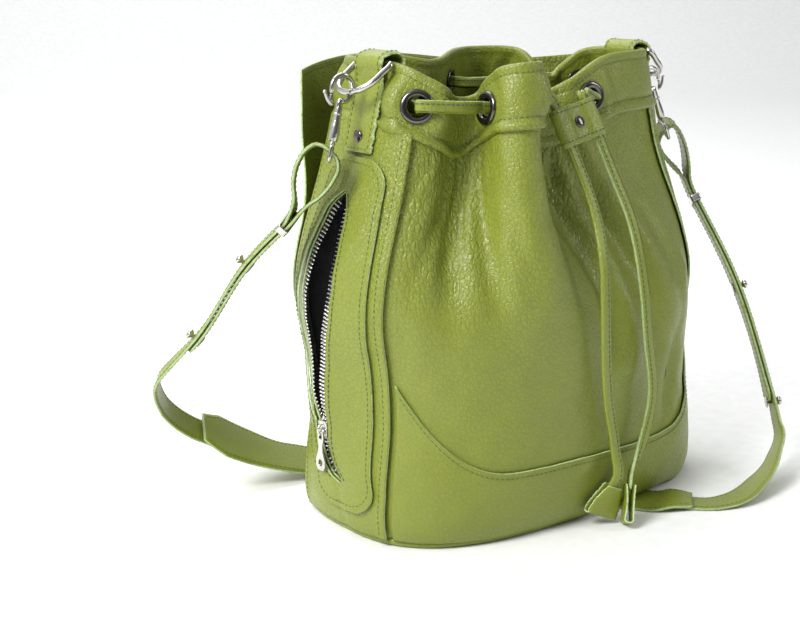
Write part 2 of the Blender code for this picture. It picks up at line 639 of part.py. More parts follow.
rings = ((1.00, 0.0016), (0.93, 0.0050), (0.76, 0.0120), (0.45, 0.0180), (0.16, 0.0192))
pts, faces, around = [], [], 20
for size, depth in rings:
    for a in np.linspace(0, 2 * math.pi, around + 1)[:-1]:
        s = ZIP_S - 0.023 + 0.033 * size * abs(math.cos(a))**0.8 * math.copysign(1, math.cos(a))
        v = 0.1225 + 0.0970 * size * abs(math.sin(a))**0.8 * math.copysign(1, math.sin(a))
        pts.append(tuple(skin(s, v, -depth)))
for r in range(len(rings) - 1):
    for k in range(around):
        a, b = r * around + k, r * around + (k + 1) % around
        faces.append([a, b, b + around, a + around][::-1])
pts.append(tuple(skin(ZIP_S - 0.023, 0.1225, -0.0194)))
faces += [[4 * around + (k + 1) % around, 4 * around + k, 5 * around] for k in range(around)]
thicken(mesh("zip_pocket", pts, faces, "lining"), 0.0005, 1.0)

# ---------------------------------------------------------------- eyelets
RING = [(EYELET_BORE, -0.0028), (0.0086, -0.0028), (0.0086, -0.0023), (EYELET_BARREL, -0.0023),
        (EYELET_BARREL, 0.0034), (EYELET_R, 0.0034), (0.0088, 0.0044), (EYELET_BORE, 0.0041)]
for k, (es, centre, axis) in enumerate(EYELETS):
    side, n = ("front", k + 1) if k < 4 else ("back", k - 3)
    lathe(f"eyelet_{side}_{n}", RING, centre, axis, "gunmetal", 12)

# ---------------------------------------------------------------- tabs, D-rings, hooks, strap
UP = Vector((0, 0, 1))


def side_gear(side, tag, s0, ring_dir, hook_dir, eye_w):
    """Tab, rivet, D-ring, hook, trigger and swivel eye of one side; returns the eye's frame."""
    out = Vector((side, 0, 0))
    w = Vector((0, 1, 0))
    base = Vector(skin(s0, 0.2700, 0.0))

    def at(lift, z, y=0.0):
        return Vector((base.x + side * lift, base.y + y, z))

    def wall(v, lift):
        q = skin(s0, v, lift)
        return Vector((q[0], base.y, q[2]))

    rim = Vector(skin(s0, RIM_V, 0.0))
    bar = Vector((rim.x + side * 0.0062, base.y, rim.z - 0.0020))
    route = [wall(0.2345, 0.0064), wall(0.2440, 0.0064), wall(0.2540, 0.0064), wall(0.2640, 0.0062),
             wall(0.2740, 0.0060), bar + out * 0.0034 - UP * 0.0036, bar + out * 0.0040 + UP * 0.0004,
             bar + out * 0.0026 + UP * 0.0036, bar - out * 0.0010 + UP * 0.0054,
             rim - out * 0.0040 + UP * 0.0032, rim - out * 0.0064 + UP * 0.0002,
             wall(0.2840, -0.0066), wall(0.2780, -0.0064)]
    ribbon(f"{tag}_tab", smooth_path(route, [w] * len(route), each=2), 0.0270, 0.0020, "leather")
    rivet_at, rivet_up = wall(0.2440, 0.0064), out
    cut(bpy.data.objects[f"{tag}_tab"], as_tool(lathe(f"{tag}_tab_hole", [(0, -0.004), (0.0016, -0.004),
        (0.0016, 0.004), (0, 0.004)], rivet_at, rivet_up, "leather", 8, TOOLS)))
    lathe(f"{tag}_tab_rivet", [(0, -0.0010), (0.0012, -0.0010), (0.0012, 0.0019), (0.0038, 0.0019), (0.0030, 0.0027),
                               (0, 0.0031)], rivet_at, rivet_up, "gunmetal", 10)

    g = Vector(ring_dir).normalized()
    half, length = 0.0163, 0.0254
    ring_points = [bar + w * half, bar + g * 0.0100 + w * half]
    ring_points += arc(bar + g * (length - half * 0.85), w, g * 0.85, half, 8, 172, 11)
    ring_points += [bar + g * 0.0100 - w * half, bar - w * half]
    obj = wire(f"{tag}_d_ring", ring_points, 0.0018, "nickel", cyclic=True, sides=1)
    bottom = bar + g * length

    h = Vector(hook_dir).normalized()
    q = w.cross(h).normalized() * -side        # in the claw's plane, away from the bag
    claw_r, wire_r = 0.0075, 0.0017
    centre = bottom + h * 0.0034 if side > 0 else bottom + Vector((-0.0026, 0, 0.0021))
    claw = arc(centre, h, q, claw_r, 62, 360, 16)
    neck = [centre + h * d for d in (0.0100, 0.0135, 0.0180, 0.0250, 0.0310)]
    widths = [0.75 + 0.25 * min(1.0, k / 5) for k in range(15)] + [1.15, 1.35, 1.6, 1.75, 1.7, 1.5]
    hook = wire(f"{tag}_hook", claw + neck, wire_r, "nickel", radii=widths, sides=1)
    post_at = centre + h * 0.0310
    cut(hook, as_tool(lathe(f"{tag}_hook_bore", [(0, -0.0060), (0.0014, -0.0060), (0.0014, 0.0030), (0, 0.0030)],
                            post_at, h, "nickel", 10, TOOLS)))
    tip = centre + (h * math.cos(math.radians(62)) + q * math.sin(math.radians(62))) * claw_r
    pivot = centre + h * 0.0100 + q * 0.0045
    lever = [tip - (tip - pivot) * 0.12 + q * 0.0004, tip + (pivot - tip) * 0.6 + q * 0.0012, pivot + q * 0.0010,
             pivot + q * 0.0042 - h * 0.0020, pivot + q * 0.0072 - h * 0.0060]
    wire(f"{tag}_trigger", lever, 0.0010, "nickel", radii=[0.8, 1.0, 1.25, 1.0, 0.8], sides=1)

    ew = Vector(eye_w)
    ew = (ew - h * ew.dot(h)).normalized()
    mid = post_at + h * 0.0064
    loop = []
    for cx, cy, a0 in ((1, -1, -90), (1, 1, 0), (-1, 1, 90), (-1, -1, 180)):
        loop += arc(mid + ew * cx * 0.0092 + h * cy * 0.0026, ew, h, 0.0026, a0, a0 + 90, 3)
    eye = wire(f"{tag}_swivel_eye", loop, 0.0012, "nickel", cyclic=True, sides=1)
    post = lathe(f"{tag}_eye_post", [(0, -0.0048), (0.0010, -0.0048), (0.0010, 0.0020), (0, 0.0020)], post_at, h,
                 "nickel", 8)
    join(f"{tag}_swivel_eye", [eye, post])
    return {"bar": bar, "bottom": bottom, "claw": centre, "h": h, "q": q, "pivot": pivot, "post": post_at, "eye": mid,
            "ew": ew}


LEFT = side_gear(-1, "left", 0.008, (-0.0199, 0, -0.0158), (-0.23, 0, -0.973), VIEW_W)
RIGHT = side_gear(1, "right", 0.498, (0.0187, 0, -0.0172), (0.40, 0, -0.915), VIEW_W)

# strap: each end strap runs up through its swivel eye, folds back and is held by a keeper and two studs
LEFT_LEG = ((-0.1735, 0.042, 0.166), (-0.193, 0.068, 0.119))          # stud places
RIGHT_LEG = ((0.167, -0.055, 0.126), (0.175, -0.085, 0.046))
LEFT_RUN = (((-0.203, 0.082, 0.101), (0.60, 0.79, 0.10)), ((-0.209, 0.095, 0.085), (0.60, 0.78, 0.20)),
            ((-0.202, 0.102, 0.068), (0.55, 0.75, 0.35)), ((-0.185, 0.105, 0.051), (0.45, 0.75, 0.48)),
            ((-0.164, 0.104, 0.038), (0.35, 0.80, 0.50)))
PAD_RUN = (((-0.1730, 0.1028, 0.0472), (0.38, 0.78, 0.50)), ((-0.1628, 0.1022, 0.0404), (0.35, 0.80, 0.50)),
           ((-0.138, 0.103, 0.026), (0.33, 0.85, 0.42)), ((-0.112, 0.100, 0.014), (0.30, 0.90, 0.28)),
           ((-0.091, 0.098, 0.0075), (0.40, 0.88, 0.20)), ((-0.073, 0.088, 0.0024), (0.70, 0.70, 0.05)),
           ((-0.058, 0.072, 0.00105), (0.81, 0.58, 0)), ((-0.030, 0.040, 0.00105), (0.81, 0.58, 0)),
           ((0.0, 0.0, 0.00105), (0.85, 0.53, 0)), ((0.028, -0.050, 0.00105), (0.86, 0.51, 0)),
           ((0.046, -0.080, 0.00105), (0.83, 0.56, 0)), ((0.055, -0.0915, 0.0012), (0.80, 0.60, 0)),
           ((0.0605, -0.0975, 0.0034), (0.79, 0.61, 0)), ((0.070, -0.1080, 0.0034), (0.78, 0.62, 0)))
RIGHT_RUN = (((0.168, -0.097, 0.029), (0.55, 0.70, -0.45)), ((0.148, -0.110, 0.018), (0.35, 0.80, -0.50)),
             ((0.121, -0.120, 0.0090), (0.15, 0.95, -0.25)), ((0.095, -0.1225, 0.0030), (0.40, 0.90, 0)),
             ((0.080, -0.1165, 0.00108), (0.70, 0.70, 0)), ((0.070, -0.1080, 0.00108), (0.78, 0.62, 0)),
             ((0.0625, -0.0995, 0.00108), (0.79, 0.61, 0)))


def end_strap(tag, gear, side, legs, run, teardrop, tail):
    """The end strap as one ribbon from tail tip to pad; studs and keeper hold its two layers."""
    left = Vector((0.794, -0.607, 0)) * side
    e = gear["eye"]

    def near(a, z):
        return e + left * a * 0.001 + UP * z * 0.001

    k = near(*teardrop["keeper"])
    axis_pts = [k] + [Vector(q) for q in legs] + [Vector(run[0][0])]
    widths = [VIEW_W, VIEW_W, VIEW_W, Vector(run[0][1])]
    p, w, t = smooth_path(axis_pts, widths, 19)
    n = np.cross(t, w) * side                # away from the bag
    length = np.r_[0, np.cumsum(np.linalg.norm(np.diff(p, axis=0), axis=1))]

    def station(q):
        i = int(np.argmin(np.linalg.norm(p - np.array(q), axis=1)))
        return p[i], w[i], t[i], n[i]

    off = STRAP_T / 2 + 0.00028
    end = int(np.argmin(np.abs(length - tail)))
    inner = [(p[i] - n[i] * off, w[i]) for i in range(end, 0, -1)]
    outer = [(p[i] + n[i] * off, w[i]) for i in range(1, len(p) - 1)]
    flat_w = np.array(gear["ew"])
    drop = [(np.array(near(*q)), flat_w) for q in teardrop["loop"]]
    rest = [(np.array(q) + n[-1] * off * max(0.0, 1 - i / 2), np.array(u)) for i, (q, u) in enumerate(run)]
    whole = inner + drop + outer + rest
    path = smooth_path([q for q, _ in whole], [u for _, u in whole], each=2)
    strap = ribbon(f"{tag}_strap", path, STRAP_W, STRAP_T, "leather")
    for j, q in enumerate(legs):
        c, _, _, m = station(q)
        tool = as_tool(lathe(f"{tag}_stud_hole_{j + 1}", [(0, -0.006), (0.0016, -0.006), (0.0016, 0.006), (0, 0.006)],
                             c, m, "leather", 8, TOOLS))
        cut(strap, tool)
        lathe(f"{tag}_stud_{j + 1}", [(0, -0.0036), (0.0040, -0.0032), (0.0040, -0.0027), (0.0012, -0.0027),
                                      (0.0012, 0.0038), (0.0030, 0.0054), (0.0018, 0.0074), (0, 0.0076)],
              c, m, "nickel", 8)
    c, u, d, m = (p[1] + p[2]) / 2, w[1], t[1], n[1]
    ring = []
    for x, y in ((1, -1), (1, 1), (-1, 1), (-1, -1)):
        for a in (-45, 0, 45):
            turn = math.radians(a + (45 if x * y > 0 else -45) + (0 if x > 0 else 180))
            ring.append(c + u * (x * 0.0106 + 0.0012 * math.cos(turn)) + m * (y * 0.0020 + 0.0012 * math.sin(turn)))
    ribbon(f"{tag}_keeper", (np.array(ring), np.array([d] * len(ring))), 0.0046, 0.0010, "nickel", closed=True)
    return {"keeper": c, "keeper_dir": d}


END_L = end_strap("left", LEFT, -1, LEFT_LEG, LEFT_RUN, {
    "keeper": (19.0, -34.5), "loop": ((14.0, -31.5), (6.0, -25.5), (-1.0, -17.0), (-4.2, -9.0), (-3.2, -3.6),
                                      (0.0, 0.3), (3.6, 3.2), (8.5, 4.6), (14.0, 1.6), (19.6, -7.0), (22.0, -18.0),
                                      (21.8, -27.0))}, 0.118)
END_R = end_strap("right", RIGHT, 1, RIGHT_LEG, RIGHT_RUN, {
    "keeper": (17.2, -38.0), "loop": ((13.5, -33.0), (6.5, -26.0), (-0.6, -17.5), (-4.4, -9.0), (-3.2, -3.4),
                                      (0.0, 0.3), (3.4, 3.0), (7.4, 1.6), (11.6, -4.6), (15.2, -14.0), (17.4, -25.0),
                                      (18.2, -32.0))}, 0.166)
p, w, t = smooth_path([q for q, _ in PAD_RUN], [u for _, u in PAD_RUN], 34)
pad_width = PAD_W * np.interp(np.arange(34), (0, 2, 31, 33), (0.72, 1, 1, 0.72))
ribbon("strap_pad", (p, w, t), pad_width, STRAP_T, "leather")

# ---------------------------------------------------------------- drawstring, cinch, tails, tassels
CINCH_D = Vector((0.20, -0.36, -0.911)).normalized()       # the cinch slides down the tails this way
CINCH_W = Vector((1.0, 0.03, 0.0))
CINCH_W = (CINCH_W - CINCH_D * CINCH_W.dot(CINCH_D)).normalized()
CINCH_N = CINCH_D.cross(CINCH_W).normalized()
if CINCH_N.y > 0:
    CINCH_N = -CINCH_N
CINCH_C = Vector((0.0000, -0.0625, 0.2500))
CINCH_H, TUNNEL = 0.0240, 0.0130


def tunnel(side, d):
    return CINCH_C + CINCH_W * side * TUNNEL + CINCH_D * d


def eyelet_at(k, lift):
    return Vector(EYELETS[k][1]) + Vector(EYELETS[k][2]) * lift


def pass_through(k, inwards):
    lifts = (0.0066, 0.0042, 0.0010, -0.0030, -0.0052)
    return [eyelet_at(k, q) for q in (lifts if inwards else lifts[::-1])]


def inside_run(a, b, lift, count):
    """Along the inside of the facing from eyelet a to eyelet b the short way."""
    s0, s1 = EYELETS[a][0], EYELETS[b][0]
    d = (s1 - s0 + 0.5) % 1 - 0.5
    z0, z1 = EYELETS[a][1][2], EYELETS[b][1][2]
    out = []
    for t in np.linspace(0, 1, count + 2)[1:-1]:
        s = np.float64(s0 + d * t)
        q = bare(s, EYELET_V) - normal(s, EYELET_V, bare) * lift
        out.append(Vector((q[0], q[1], z0 + (z1 - z0) * t)))
    return out


def outside_run(a, b, hang):
    p0, p1 = eyelet_at(a, 0.0086), eyelet_at(b, 0.0086)
    out = Vector((0, -1, 0)) if a < 4 else Vector((0, 1, 0))
    return [p0.lerp(p1, t) + out * hang * math.sin(math.pi * t)**0.6 for t in (0.14, 0.30, 0.5, 0.70, 0.86)]


route = [tunnel(-1, -0.0060), tunnel(-1, -0.0105), tunnel(-1, -0.0145)]
route += [eyelet_at(2, 0.0100) + Vector((0.0016, 0.0, -0.0004))] + pass_through(2, True)[1:]
route += [(eyelet_at(2, -0.0085) + eyelet_at(1, -0.0085)) / 2 + Vector((0, 0.001, 0))]
route += pass_through(1, False) + outside_run(1, 0, 0.0050) + pass_through(0, True)
route += inside_run(0, 7, 0.0082, 5) + pass_through(7, False) + outside_run(7, 6, 0.0040) + pass_through(6, True)
route += [(eyelet_at(6, -0.0100) + eyelet_at(5, -0.0100)) / 2]
route += pass_through(5, False) + outside_run(5, 4, 0.0020) + pass_through(4, True)
route += inside_run(4, 3, 0.0082, 6) + pass_through(3, False)
route += [eyelet_at(3, 0.0100) + Vector((-0.0040, 0, 0)), tunnel(1, -0.0145), tunnel(1, -0.0105),
          tunnel(1, -0.0060)]
ribbon("drawstring", smooth_path(route, [UP if 4 < i < len(route) - 5 else CINCH_W for i in range(len(route))], each=2),
       CORD_W, CORD_T, "leather")

LEFT_LEAF = (Vector((0.0046, -0.0992, 0.0255)), Vector((-0.0018, -0.0943, 0.0064)), Vector((0.93, -0.30, -0.22)))
RIGHT_LEAF = (Vector((0.0165, -0.1020, 0.0245)), Vector((0.0085, -0.1085, 0.0028)), Vector((0.607, 0.794, 0.0)))


def into_leaf(leaf, d):
    return leaf[0] + (leaf[1] - leaf[0]).normalized() * d


LEFT_TAIL = (tunnel(-1, -0.0050), tunnel(-1, 0.0100), tunnel(-1, 0.0230), tunnel(-1, 0.0360), (-0.005, -0.0850, 0.198),
             (-0.009, -0.0985, 0.165), (-0.009, -0.1000, 0.145), (-0.002, -0.0985, 0.083), (0.006, -0.0985, 0.048),
             into_leaf(LEFT_LEAF, -0.0060), into_leaf(LEFT_LEAF, -0.0010), into_leaf(LEFT_LEAF, 0.0030))
RIGHT_TAIL = (tunnel(1, -0.0050), tunnel(1, 0.0100), tunnel(1, 0.0230), tunnel(1, 0.0360), (0.025, -0.0870, 0.190),
              (0.028, -0.0975, 0.145), (0.030, -0.0995, 0.120), (0.037, -0.0990, 0.076), (0.029, -0.0995, 0.048),
              into_leaf(RIGHT_LEAF, -0.0060), into_leaf(RIGHT_LEAF, -0.0010), into_leaf(RIGHT_LEAF, 0.0030))
for tag, points, leaf in (("left", LEFT_TAIL, LEFT_LEAF), ("right", RIGHT_TAIL, RIGHT_LEAF)):
    widths = [CINCH_W] * 4 + [Vector((1, 0, 0))] * 5 + [leaf[2]] * 3
    ribbon(f"{tag}_tail", smooth_path(points, widths, 44), CORD_W, CORD_T, "leather")


def folded_leaf(name, leaf, widths, gap):
    """A leaf of leather folded over the end of a cord."""
    top, tip, across = leaf
    d = (tip - top).normalized()
    across = (across - d * across.dot(d)).normalized()
    m = d.cross(across).normalized()
    one = [top.lerp(tip, t) + m * gap for t in (0, 0.3, 0.62, 0.90)]
    two = [top.lerp(tip, t) - m * gap for t in (0.90, 0.62, 0.3, 0)]
    pts = one + [tip + m * gap * 0.5, tip - m * gap * 0.5] + two
    w = list(widths) + [widths[-1]] * 2 + list(widths)[::-1]
    ribbon(name, (np.array([tuple(q) for q in pts]), np.array([tuple(across)] * len(pts))), w, 0.0013, "leather")


folded_leaf("left_tassel", LEFT_LEAF, (0.0105, 0.0150, 0.0195, 0.0215), 0.0026)
folded_leaf("right_tassel", RIGHT_LEAF, (0.0100, 0.0135, 0.0150, 0.0130), 0.0028)

loop = []
for x, h in ((0.0187, 0), (0.0182, 1.5), (0.0170, 2.35), (0.0130, 2.6), (0.0088, 2.5), (0.0056, 1.35), (0.0, 1.05),
             (-0.0056, 1.35), (-0.0088, 2.5), (-0.0130, 2.6), (-0.0170, 2.35), (-0.0182, 1.5)):
    loop.append((x, h * 0.001))
loop += [(-x, -h) for x, h in loop]
points = np.array([tuple(CINCH_C + CINCH_W * x + CINCH_N * h) for x, h in loop])
cinch = ribbon("cinch_slider", (points, np.array([tuple(CINCH_D)] * len(points))), CINCH_H, 0.0013, "leather",
               closed=True)
cut(cinch, as_tool(lathe("cinch_hole", [(0, -0.006), (0.0016, -0.006), (0.0016, 0.006), (0, 0.006)], CINCH_C, CINCH_N,
                         "leather", 8, TOOLS)))
lathe("cinch_rivet", [(0, -0.0028), (0.0030, -0.0024), (0.0030, -0.0020), (0.0012, -0.0020), (0.0012, 0.0020),
                      (0.0036, 0.0020), (0.0030, 0.0027), (0, 0.0031)], CINCH_C, CINCH_N, "gunmetal", 10)


# ---------------------------------------------------------------- moving pieces sit on their joint axes
def seat(name, point):
    """Move an object's origin to a point of its joint axis."""
    obj = bpy.data.objects[name]
    m = obj.matrix_world.copy()
    obj.data.transform(Matrix.Translation(m.to_3x3().inverted() @ (m.translation - Vector(point))))
    m.translation = Vector(point)
    obj.matrix_world = m


bpy.context.view_layer.update()
seat("zip_slider", ZIP_P)
seat("cinch_slider", CINCH_C)
seat("cinch_rivet", CINCH_C)
for tag, gear, end in (("left", LEFT, END_L), ("right", RIGHT, END_R)):
    seat(f"{tag}_d_ring", gear["bar"])
    seat(f"{tag}_hook", gear["post"])
    seat(f"{tag}_swivel_eye", gear["post"])
    seat(f"{tag}_trigger", gear["pivot"])
    seat(f"{tag}_keeper", end["keeper"])
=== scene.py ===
"""Visual layer of the drawstring bucket bag: leather, stitching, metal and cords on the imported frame.

Frame: floor at z = 0, front is -Y, the zip gusset is -X, metres.  The bag body is one master surface
skin(s, v): s runs once round the bag (0 = left gusset, 0.25 = front, 0.5 = right gusset), v is height.
"""
import math

import bmesh
import bpy
import numpy as np
from mathutils import Matrix, Vector


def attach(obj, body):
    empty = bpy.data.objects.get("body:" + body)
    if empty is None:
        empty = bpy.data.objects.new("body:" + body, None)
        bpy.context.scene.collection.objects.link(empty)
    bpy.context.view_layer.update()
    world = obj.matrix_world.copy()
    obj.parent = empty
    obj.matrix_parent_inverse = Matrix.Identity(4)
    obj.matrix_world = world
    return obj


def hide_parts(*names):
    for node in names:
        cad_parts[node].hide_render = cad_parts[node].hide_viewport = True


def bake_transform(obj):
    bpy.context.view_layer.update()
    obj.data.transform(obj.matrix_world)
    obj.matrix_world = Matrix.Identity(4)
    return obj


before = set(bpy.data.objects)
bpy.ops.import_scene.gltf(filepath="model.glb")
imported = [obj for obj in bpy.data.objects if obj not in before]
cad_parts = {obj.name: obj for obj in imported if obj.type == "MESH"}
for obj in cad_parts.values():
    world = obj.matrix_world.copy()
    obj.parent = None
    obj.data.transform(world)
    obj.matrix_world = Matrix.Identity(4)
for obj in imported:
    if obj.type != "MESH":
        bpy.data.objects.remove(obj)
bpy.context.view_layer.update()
UP = Vector((0, 0, 1))

# ---------------------------------------------------------------- dimensions, as in the solid model
RIM_V, WALL_V, PANEL_TOP, LEATHER = 0.2895, 0.0052, 0.2535, 0.0013
LAP, GUSSET_LAP = 0.0018, 0.0027      # how far the right and the left gusset stand over the panels
SEAM, UNDER = 0.0565, 0.0470
SEAM_STITCH = SEAM - 0.0058
LOWER_LIFT, POCKET_LIFT = 0.0022, 0.0026
RINGS = (
    (0.000, 0.1310, 0.0775, 3.0), (0.012, 0.1340, 0.0830, 2.9), (0.035, 0.1340, 0.0870, 2.7),
    (0.075, 0.1300, 0.0885, 2.5), (0.105, 0.1330, 0.0900, 2.4), (0.150, 0.1440, 0.0930, 2.3),
    (0.190, 0.1420, 0.0910, 2.3), (0.230, 0.1290, 0.0820, 2.4), (0.300, 0.1100, 0.0640, 2.5))
MOUTH_FRONT = (
    (-0.109, 0.000), (-0.110, -0.020), (-0.105, -0.036), (-0.092, -0.042), (-0.078, -0.037),
    (-0.0665, -0.0325), (-0.0600, -0.0385), (-0.0595, -0.052), (-0.062, -0.065), (-0.056, -0.074),
    (-0.046, -0.075), (-0.038, -0.066), (-0.035, -0.053), (-0.026, -0.040), (-0.012, -0.032),
    (0.006, -0.033), (0.027, -0.040), (0.048, -0.038), (0.070, -0.0345), (0.090, -0.029), (0.1035, -0.020),
    (0.107, -0.010), (0.107, 0.000))
MOUTH_BACK = (
    (0.107, 0.000), (0.107, 0.011), (0.1040, 0.022), (0.094, 0.034), (0.079, 0.036), (0.067, 0.035), (0.060, 0.045),
    (0.057, 0.060), (0.045, 0.071), (0.028, 0.0735), (0.012, 0.0665), (-0.002, 0.0565), (-0.016, 0.0470),
    (-0.030, 0.0400), (-0.046, 0.0365), (-0.066, 0.042), (-0.088, 0.046), (-0.103, 0.036),
    (-0.109, 0.018), (-0.109, 0.000))
GATHER_V = (0.095, 0.250)
SAGS = ((-0.0740, -0.0350, 0.0458, 0.022), (-0.0015, -0.0318, 0.0485, 0.022),   # plan x, y, width, drop
        (0.072, 0.035, 0.030, 0.019), (-0.034, 0.039, 0.040, 0.005))
BULGES = ((-0.012, 0.150, 0.005, 0.020, 0.045), (-0.013, 0.086, 0.010, 0.027, 0.034))
EYELET_V = 0.2700
EYELET_PLAN = ((-0.104, -0.037), (-0.0598, -0.0505), (-0.0365, -0.0600), (0.030, -0.040),
               (0.093, 0.034), (0.0585, 0.052), (-0.007, 0.049), (-0.093, 0.044))
ZIP_S, ZIP_V, ZIP_OPEN_V, SLOT = 0.012, (0.033, 0.212), 0.0715, 0.0070
ZIP_WANDER = ((0.033, 0.0095), (0.042, -0.0030), (0.052, -0.0100), (0.070, -0.0110), (0.097, -0.0095),
              (0.124, -0.0030), (0.1435, 0.0045), (0.167, 0.0070), (0.190, 0.0058), (0.212, 0.0030))
OPEN_BACK = 0.0250
FOLDS = (      # long soft folds: share, lean, width, lowest, highest, size
    (0.303, 0.24, 0.0110, 0.070, 0.235, 0.0034), (0.328, 0.10, 0.0140, 0.060, 0.240, -0.0048),
    (0.281, 0.30, 0.0110, 0.080, 0.250, -0.0044), (0.130, -0.12, 0.0140, 0.120, 0.240, 0.0020),
    (0.105, -0.10, 0.0110, 0.140, 0.240, -0.0020), (0.358, 0.10, 0.0140, 0.100, 0.215, 0.0028),
    (0.210, 0.00, 0.0300, 0.060, 0.200, 0.0012), (0.378, 0.30, 0.0110, 0.035, 0.125, -0.0042),
    (0.398, 0.05, 0.0150, 0.100, 0.215, 0.0022), (0.640, 0.12, 0.0160, 0.100, 0.235, -0.0022),
    (0.800, -0.12, 0.0160, 0.080, 0.235, 0.0020), (0.452, 0.05, 0.0100, 0.050, 0.235, 0.0012),
    (0.530, -0.05, 0.0130, 0.070, 0.225, -0.0016))
FACING, FACING_LIFT = (0.018, 0.232, 0.0345), 0.0054      # lowest, highest, half width
STRAP_W, STRAP_T, PAD_W, STRAP_ARCH = 0.0200, 0.0021, 0.0360, 0.0030
CORD_W, CORD_T = 0.0074, 0.0026
VIEW_W = Vector((0.607, 0.794, 0.0))


# ---------------------------------------------------------------- master surface
def run_of(points):
    """Distance along a polyline at each of its points."""
    return np.r_[0, np.cumsum(np.linalg.norm(np.diff(points, axis=0), axis=1))]


def unit(a):
    return a / np.linalg.norm(a, axis=-1, keepdims=True)


def pair(s, v):
    """Shares and heights as arrays of one shape."""
    return np.broadcast_arrays(np.asarray(s, float), np.asarray(v, float))


def ease(x):
    x = np.clip(x, 0.0, 1.0)
    return x * x * (3 - 2 * x)


def through(xs, ys, x):
    """A smooth curve through the points (xs, ys), read at x."""
    xs, ys = np.asarray(xs, float), np.asarray(ys, float)
    slope = np.gradient(ys, xs)
    i = np.clip(np.searchsorted(xs, x, side="right") - 1, 0, len(xs) - 2)
    h = xs[i + 1] - xs[i]
    t = np.clip((x - xs[i]) / h, 0, 1)
    return ((2 * t**3 - 3 * t**2 + 1) * ys[i] + (t**3 - 2 * t**2 + t) * h * slope[i]
            + (3 * t**2 - 2 * t**3) * ys[i + 1] + (t**3 - t**2) * h * slope[i + 1])


def measured(points, count=240):
    """A smooth plan through the points, with the share of its length at each place."""
    p = np.array(points, float)
    k = run_of(p)
    q = np.linspace(0, k[-1], count)
    c = np.stack([through(k, p[:, j], q) for j in (0, 1)], 1)
    run = run_of(c)
    return run / run[-1], c


def relax(plan, at, reach, sigma):
    """Round a tight corner of the plan without moving the shares."""
    run, c = plan
    k = np.exp(-0.5 * (np.arange(-20, 21) / sigma)**2)
    soft = np.stack([np.convolve(np.pad(c[:, j], 20, mode="edge"), k / k.sum(), "valid") for j in (0, 1)], 1)
    w = np.exp(-((run - at) / reach)**4)[:, None]
    return run, c + w * (soft - c)


FRONT_PLAN, BACK_PLAN = relax(measured(MOUTH_FRONT), 0.232, 0.050, 6.0), measured(MOUTH_BACK)
TURN = np.linspace(0, math.pi, 400)


def mouth(s):
    s = np.mod(s, 1.0)
    half = s < 0.5
    a = np.where(half, s * 2, s * 2 - 1)
    return [np.where(half, np.interp(a, FRONT_PLAN[0], FRONT_PLAN[1][:, j]),
                     np.interp(a, BACK_PLAN[0], BACK_PLAN[1][:, j])) for j in (0, 1)]


def share(x, y, line=mouth):
    """The share at which a closed line passes closest to a point."""
    s = np.linspace(0, 1, 4001)
    lx, ly = line(s)
    return float(s[np.argmin(np.hypot(lx - x, ly - y))])


def oval(s, a, b, n):
    """Superellipse with half axes a and b; its shares are those of a standard oval, so seams stay upright."""
    sm = np.mod(s, 1.0)
    c, d = np.cos(TURN), np.sin(TURN)
    r = (np.abs(c / 0.134)**2.5 + np.abs(d / 0.087)**2.5)**(-1 / 2.5)
    run = np.r_[0, np.cumsum(np.hypot(np.diff(r * c), np.diff(r * d)))]
    run /= run[-1]
    turn = np.where(sm < 0.5, np.interp(sm * 2, run, TURN), np.interp(sm * 2 - 1, run, TURN) + math.pi) + math.pi
    c, d = np.cos(turn), np.sin(turn)
    r = (np.abs(c / a)**n + np.abs(d / b)**n)**(-1 / n)
    return r * c, r * d


def signed(s, c):
    return np.mod(s - c + 0.5, 1) - 0.5


def apart(s, c):
    return np.abs(signed(s, c))


def base_line(s):
    return oval(s, *RINGS[0][1:])


SAG_S = [(share(x, y), w, d) for x, y, w, d in SAGS]
ARCHES = [share(x, y, base_line) for x, y in ((0.046, -0.080), (-0.060, 0.074))]


def bare(s, v):
    """The body without creases and eyelet flats: oval below, gathered plan above, valleys, strap arches."""
    s, v = pair(s, v)
    table = np.array(RINGS)
    a, b, n = (through(table[:, 0], table[:, k], v) for k in (1, 2, 3))
    x, y = oval(s, a, b, n)
    mx, my = mouth(s)
    w = ease((v - GATHER_V[0]) / (GATHER_V[1] - GATHER_V[0]))
    lean = 1 + 2.0 * (0.272 - v)
    z = v - sum(d * np.exp(-(apart(s, c) / w0)**2) for c, w0, d in SAG_S) * ease((v - 0.12) / 0.17)
    arch = sum(ease((0.072 - apart(s, c)) / 0.026) for c in ARCHES)
    z = z + STRAP_ARCH * arch * (1 - ease(v / 0.045))
    bulge = sum(d * np.exp(-signed(s, c)**2 / w0**2 - (v - h)**2 / w1**2) for c, h, d, w0, w1 in BULGES)
    return np.stack([x * (1 - w) + mx * w * lean - bulge, y * (1 - w) + my * w * lean, z], -1)


def normal(s, v, f):
    e = 4e-4
    return unit(np.cross(f(s + e, v) - f(s - e, v), f(s, v + e) - f(s, v - e)))


EYELETS = []
for ex, ey in EYELET_PLAN:
    es = share(ex, ey)
    EYELETS.append((es, bare(es, EYELET_V), normal(es, EYELET_V, bare)))


def flat(s, v):
    """The body with the leather pressed flat round each eyelet."""
    p = bare(s, v)
    for es, centre, axis in EYELETS:
        d = p - centre
        near = ease((0.023 - np.linalg.norm(d, axis=-1)) / 0.008) * (apart(s, es) < 0.06)
        p = p - (d @ axis * near)[..., None] * axis
    return p


